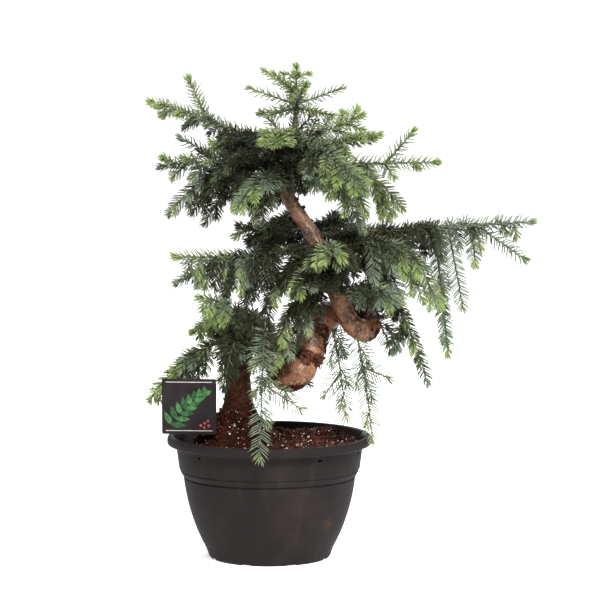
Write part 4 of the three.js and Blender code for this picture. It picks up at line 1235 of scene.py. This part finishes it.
def needles_on(shoot, radii, tone, fullness, chance):
    """A shoot's needles: feet, flank and twig directions, turns, slants, bows, lengths, tones and girths."""
    steps = np.linalg.norm(np.diff(shoot.points, axis=0), axis=1)
    reach = np.concatenate([[0], np.cumsum(steps)])
    length = reach[-1]
    is_tipped = radii[-1] < 1
    name = frond_name(shoot.owner)
    kind = kind_of(shoot, length)
    habit = HABITS[kind]
    if name == "leader":
        habit = habit._replace(**LEADER_HABIT)
    elif name in OPEN_FRONDS and kind != "lace":
        habit = habit._replace(**OPEN_HABIT)
    count = int(length * habit.per_mm * fullness)
    bud = habit.bud if is_tipped else 0
    at = np.concatenate([length * (np.arange(count) + 0.5) / count, length - 6 * chance.random(bud) ** 1.5])
    at = np.clip(at + 0.4 * (chance.random(len(at)) - 0.5), 0.5, length - 0.2)
    feet = np.stack([np.interp(at, reach, shoot.points[:, k]) for k in range(3)], axis=1)
    way = np.gradient(shoot.points, axis=0)
    ways = unit(np.stack([np.interp(at, reach, way[:, k]) for k in range(3)], axis=1))
    order = np.arange(len(at))
    if kind in ("hanging", "lace"):
        yaw = 0.9 * (chance.random() - 0.5)
        across = np.cross(ways, np.array([[math.sin(yaw), -math.cos(yaw), 0]]))
        turn = np.pi * order + np.where(order % 5 == 4, np.pi / 2, 0) + 0.6 * (chance.random(len(at)) - 0.5)
    else:
        across = np.cross(ways, np.where(abs(ways[:, 2:]) > 0.94, np.array([[0, 1.0, 0]]), UP[None]))
        turn = GOLDEN_TURN * order + 0.4 * (chance.random(len(at)) - 0.5)
        turn -= 0.3 * np.sin(2 * turn)
    in_bud = order >= count
    turn = np.where(in_bud, GOLDEN_TURN * order, turn)
    to_tip = np.clip((length - at) / 15, 0, 1) if is_tipped else np.ones(len(at))
    slant = np.radians(26 + habit.widest * to_tip + 9 * (chance.random(len(at)) - 0.5))
    slant = np.where(in_bud, np.radians(4 + 24 * chance.random(len(at))), slant)
    bow = np.full(len(at), habit.bow)
    size = habit.longest * (habit.least + (1 - habit.least) * to_tip)
    size *= 0.88 + 0.24 * chance.random(len(at))
    size *= np.clip(0.6 + at / 14, 0.6, 1) if is_tipped else 0.62
    tones = np.full(len(at), tone)
    if shoot.share > 0.45 and tone > DEEP_SHADE:
        tones[to_tip < 0.7] = min(TIP, tone + 1)
    if kind == "strong" and tone > GREY:
        tones[to_tip < 0.3] = TIP
    return feet, unit(across), ways, turn, slant, bow, size, tones, np.interp(at, reach, radii)


chance = np.random.default_rng(31)
sprays = []
for shoot in shoots:
    tone = tone_of(shoot, chance)
    sprays.append(needles_on(shoot, np.linspace(shoot.thick, TWIG_END, len(shoot.points)), tone, 1, chance))
for owner, frond in enumerate(FRONDS):
    if frond.bough:
        points = np.array([lines[owner](bough_ends[owner] * k / 20) for k in range(21)])
        radii = bough_radius(frond) * np.linspace(BOUGH_FOOT, 1, 21)
        # the needles along the boughs get the dark tones: painted shade inside the crown
        tone = SHADE if frond.bough > LONG_BOUGH else DEEP_SHADE
        sprays.append(needles_on(Shoot(points, radii[-1], owner, 0, 0.2), radii, tone, 1.9, chance))
top_stations = np.linspace(25.7, len(STATIONS) - 1, 40)
points = np.array([trunk_at(station) for station in top_stations])
radii = np.array([trunk_radius(station) for station in top_stations])
sprays.append(needles_on(Shoot(points, radii[-1], len(FRONDS), 0, 0.3), radii, SHADE, 1.3, chance))
columns = [np.concatenate(column) for column in zip(*sprays)]
feet, across, ways, turn, slant, bow, size, tones, girths = columns

over = np.cross(ways, across)
out = across * np.cos(turn)[:, None] + over * np.sin(turn)[:, None]
tones = np.where((out[:, 2] < -0.3) & (tones > DEEP_SHADE), tones - 1, tones)  # the undersides are one tone darker: painted shade
set_off = ways * np.cos(slant + bow)[:, None] + out * np.sin(slant + bow)[:, None]
settle = ways * np.cos(slant - bow)[:, None] + out * np.sin(slant - bow)[:, None]
roots = feet + out * (girths - 0.2)[:, None]
elbows = roots + set_off * (BEND * size)[:, None]
tips = elbows + settle * ((1 - BEND) * size)[:, None]
wide = unit(np.cross(set_off, out))
thick = np.cross(wide, set_off)

kept = np.concatenate([wood_clearance(part) for part in np.array_split(tips, 120)]) > 0.4
kept &= np.concatenate([wood_clearance(part) for part in np.array_split(roots, 120)]) > -0.8
kept &= clear_of(tips, NEEDLE_ROOM)


def needle_mesh(name, chosen):
    """One mesh of three-sided needles, slim at the foot, widest where they bend and pointed at the tip."""
    corners = []
    for spot, girth in zip((roots, elbows), NEEDLE_GIRTHS):
        low = spot[chosen] - thick[chosen] * (0.5 * girth)
        corners += [low + wide[chosen] * (0.87 * girth), low - wide[chosen] * (0.87 * girth),
                    spot[chosen] + thick[chosen] * girth]
    corners.append(tips[chosen])
    points = np.stack(corners, axis=1)
    first = 7 * np.arange(len(points))[:, None, None]
    quads = first + np.array([[0, 3, 4, 1], [1, 4, 5, 2], [2, 5, 3, 0]])[None]
    ends = first + np.array([[0, 1, 2], [3, 6, 4], [4, 6, 5], [5, 6, 3]])[None]
    mesh = mesh_from_arrays(name, points.reshape(-1, 3), quads.reshape(-1, 4), ends.reshape(-1, 3))
    mesh.shade_smooth()
    return mesh


for tone, (tone_name, dark, light) in enumerate(NEEDLE_TONES):
    finish, place = new_finish("needles_" + tone_name)
    drift = place.clouds(26.0, 3.0) * 0.55 + place.clouds(420.0, 2.0) * 0.45
    close_finish(place, {
        "Base Color": drift.between(0.34, 0.66).tint(dark, light),
        "Roughness": 0.48 + 0.16 * drift,
        "Specular IOR Level": 0.2})
    chosen = np.flatnonzero(kept & (tones == tone))
    for k, part in enumerate(np.array_split(chosen, math.ceil(len(chosen) / MOST_IN_PIECE))):
        name = f"needles_{tone_name}_{k + 1}"
        add_piece(name, needle_mesh(name, part), finish, frond_nodes)


# Studio: a white paper sweep under soft lights, a strong one in front and weaker ones at the sides and back.
# The camera stands in front, a little higher than the crown, and looks down through a long lens.
LIGHTS = [  # name, place, width and power
    ("front_light", (0.5, -2.3, 2.5), 1.3, 190),
    ("left_light", (-2.2, -0.9, 1.2), 1.2, 4),
    ("right_light", (2.2, -0.6, 1.4), 1.2, 20),
    ("back_light", (0, 2.6, 2.3), 1.4, 45),
]
LIT_PLACE = (0.03, 0, 0.3)
CAMERA_AT = (0.03429, -3.2, 0.60694)
SEEN_PLACE = (0.03429, 0, 0.2899)
SWEEP_BACK = 6  # how far behind the pot the sweep turns up, and how high it goes
SWEEP_STRETCH = 2.5  # how many times further it reaches to the sides and the front
SWEEP_ROUNDING = 2.5
sweep = bmesh.new()
bmesh.ops.create_grid(sweep, x_segments=1, y_segments=1, size=SWEEP_BACK)
for v in sweep.verts:
    v.co.x *= SWEEP_STRETCH
    v.co.y *= SWEEP_STRETCH if v.co.y < 0 else 1
back = [edge for edge in sweep.edges if all(v.co.y > 0 for v in edge.verts)]
raised = bmesh.ops.extrude_edge_only(sweep, edges=back)
wall = [v for v in raised["geom"] if isinstance(v, bmesh.types.BMVert)]
bmesh.ops.translate(sweep, verts=wall, vec=(0, 0, SWEEP_BACK))
bmesh.ops.bevel(sweep, geom=back, offset=SWEEP_ROUNDING, offset_type="OFFSET", segments=12, profile=0.5,
                affect="EDGES", material=-1)
sweep_mesh = mesh_of("sweep", sweep)
sweep_mesh.shade_smooth()
paper, place = new_finish("paper")
close_finish(place, {
    "Base Color": place.clouds(3.0, 2.0).tint((0.88, 0.88, 0.88, 1), (0.90, 0.90, 0.90, 1)),
    "Roughness": 0.9,
    "Emission Color": (1, 1, 1, 1),
    "Emission Strength": 0.55})
floor = bpy.data.objects.new("floor", sweep_mesh)
sweep_mesh.materials.append(paper)
bpy.context.scene.collection.objects.link(floor)


def stand(thing, at, seen):
    """Puts a light or the camera at a place and turns it towards another."""
    thing.location = at
    thing.rotation_mode = "QUATERNION"
    thing.rotation_quaternion = (Vector(seen) - Vector(at)).to_track_quat("-Z", "Y")
    bpy.context.scene.collection.objects.link(thing)


for name, at, width, power in LIGHTS:
    lamp = bpy.data.lights.new(name, "AREA")
    lamp.shape = "DISK"
    lamp.size = width
    lamp.energy = power
    stand(bpy.data.objects.new(name, lamp), at, LIT_PLACE)

world = bpy.data.worlds.new("studio")
world.use_nodes = True
world.node_tree.nodes["Background"].inputs["Color"].default_value = (1, 1, 1, 1)
world.node_tree.nodes["Background"].inputs["Strength"].default_value = 0.25
bpy.context.scene.world = world
bpy.context.scene.view_settings.view_transform = "Standard"

lens = bpy.data.cameras.new("camera")
lens.sensor_width = 36
lens.lens = 172.36
lens.clip_start = 0.1
lens.clip_end = 50
camera = bpy.data.objects.new("camera", lens)
stand(camera, CAMERA_AT, SEEN_PLACE)
bpy.context.scene.camera = camera
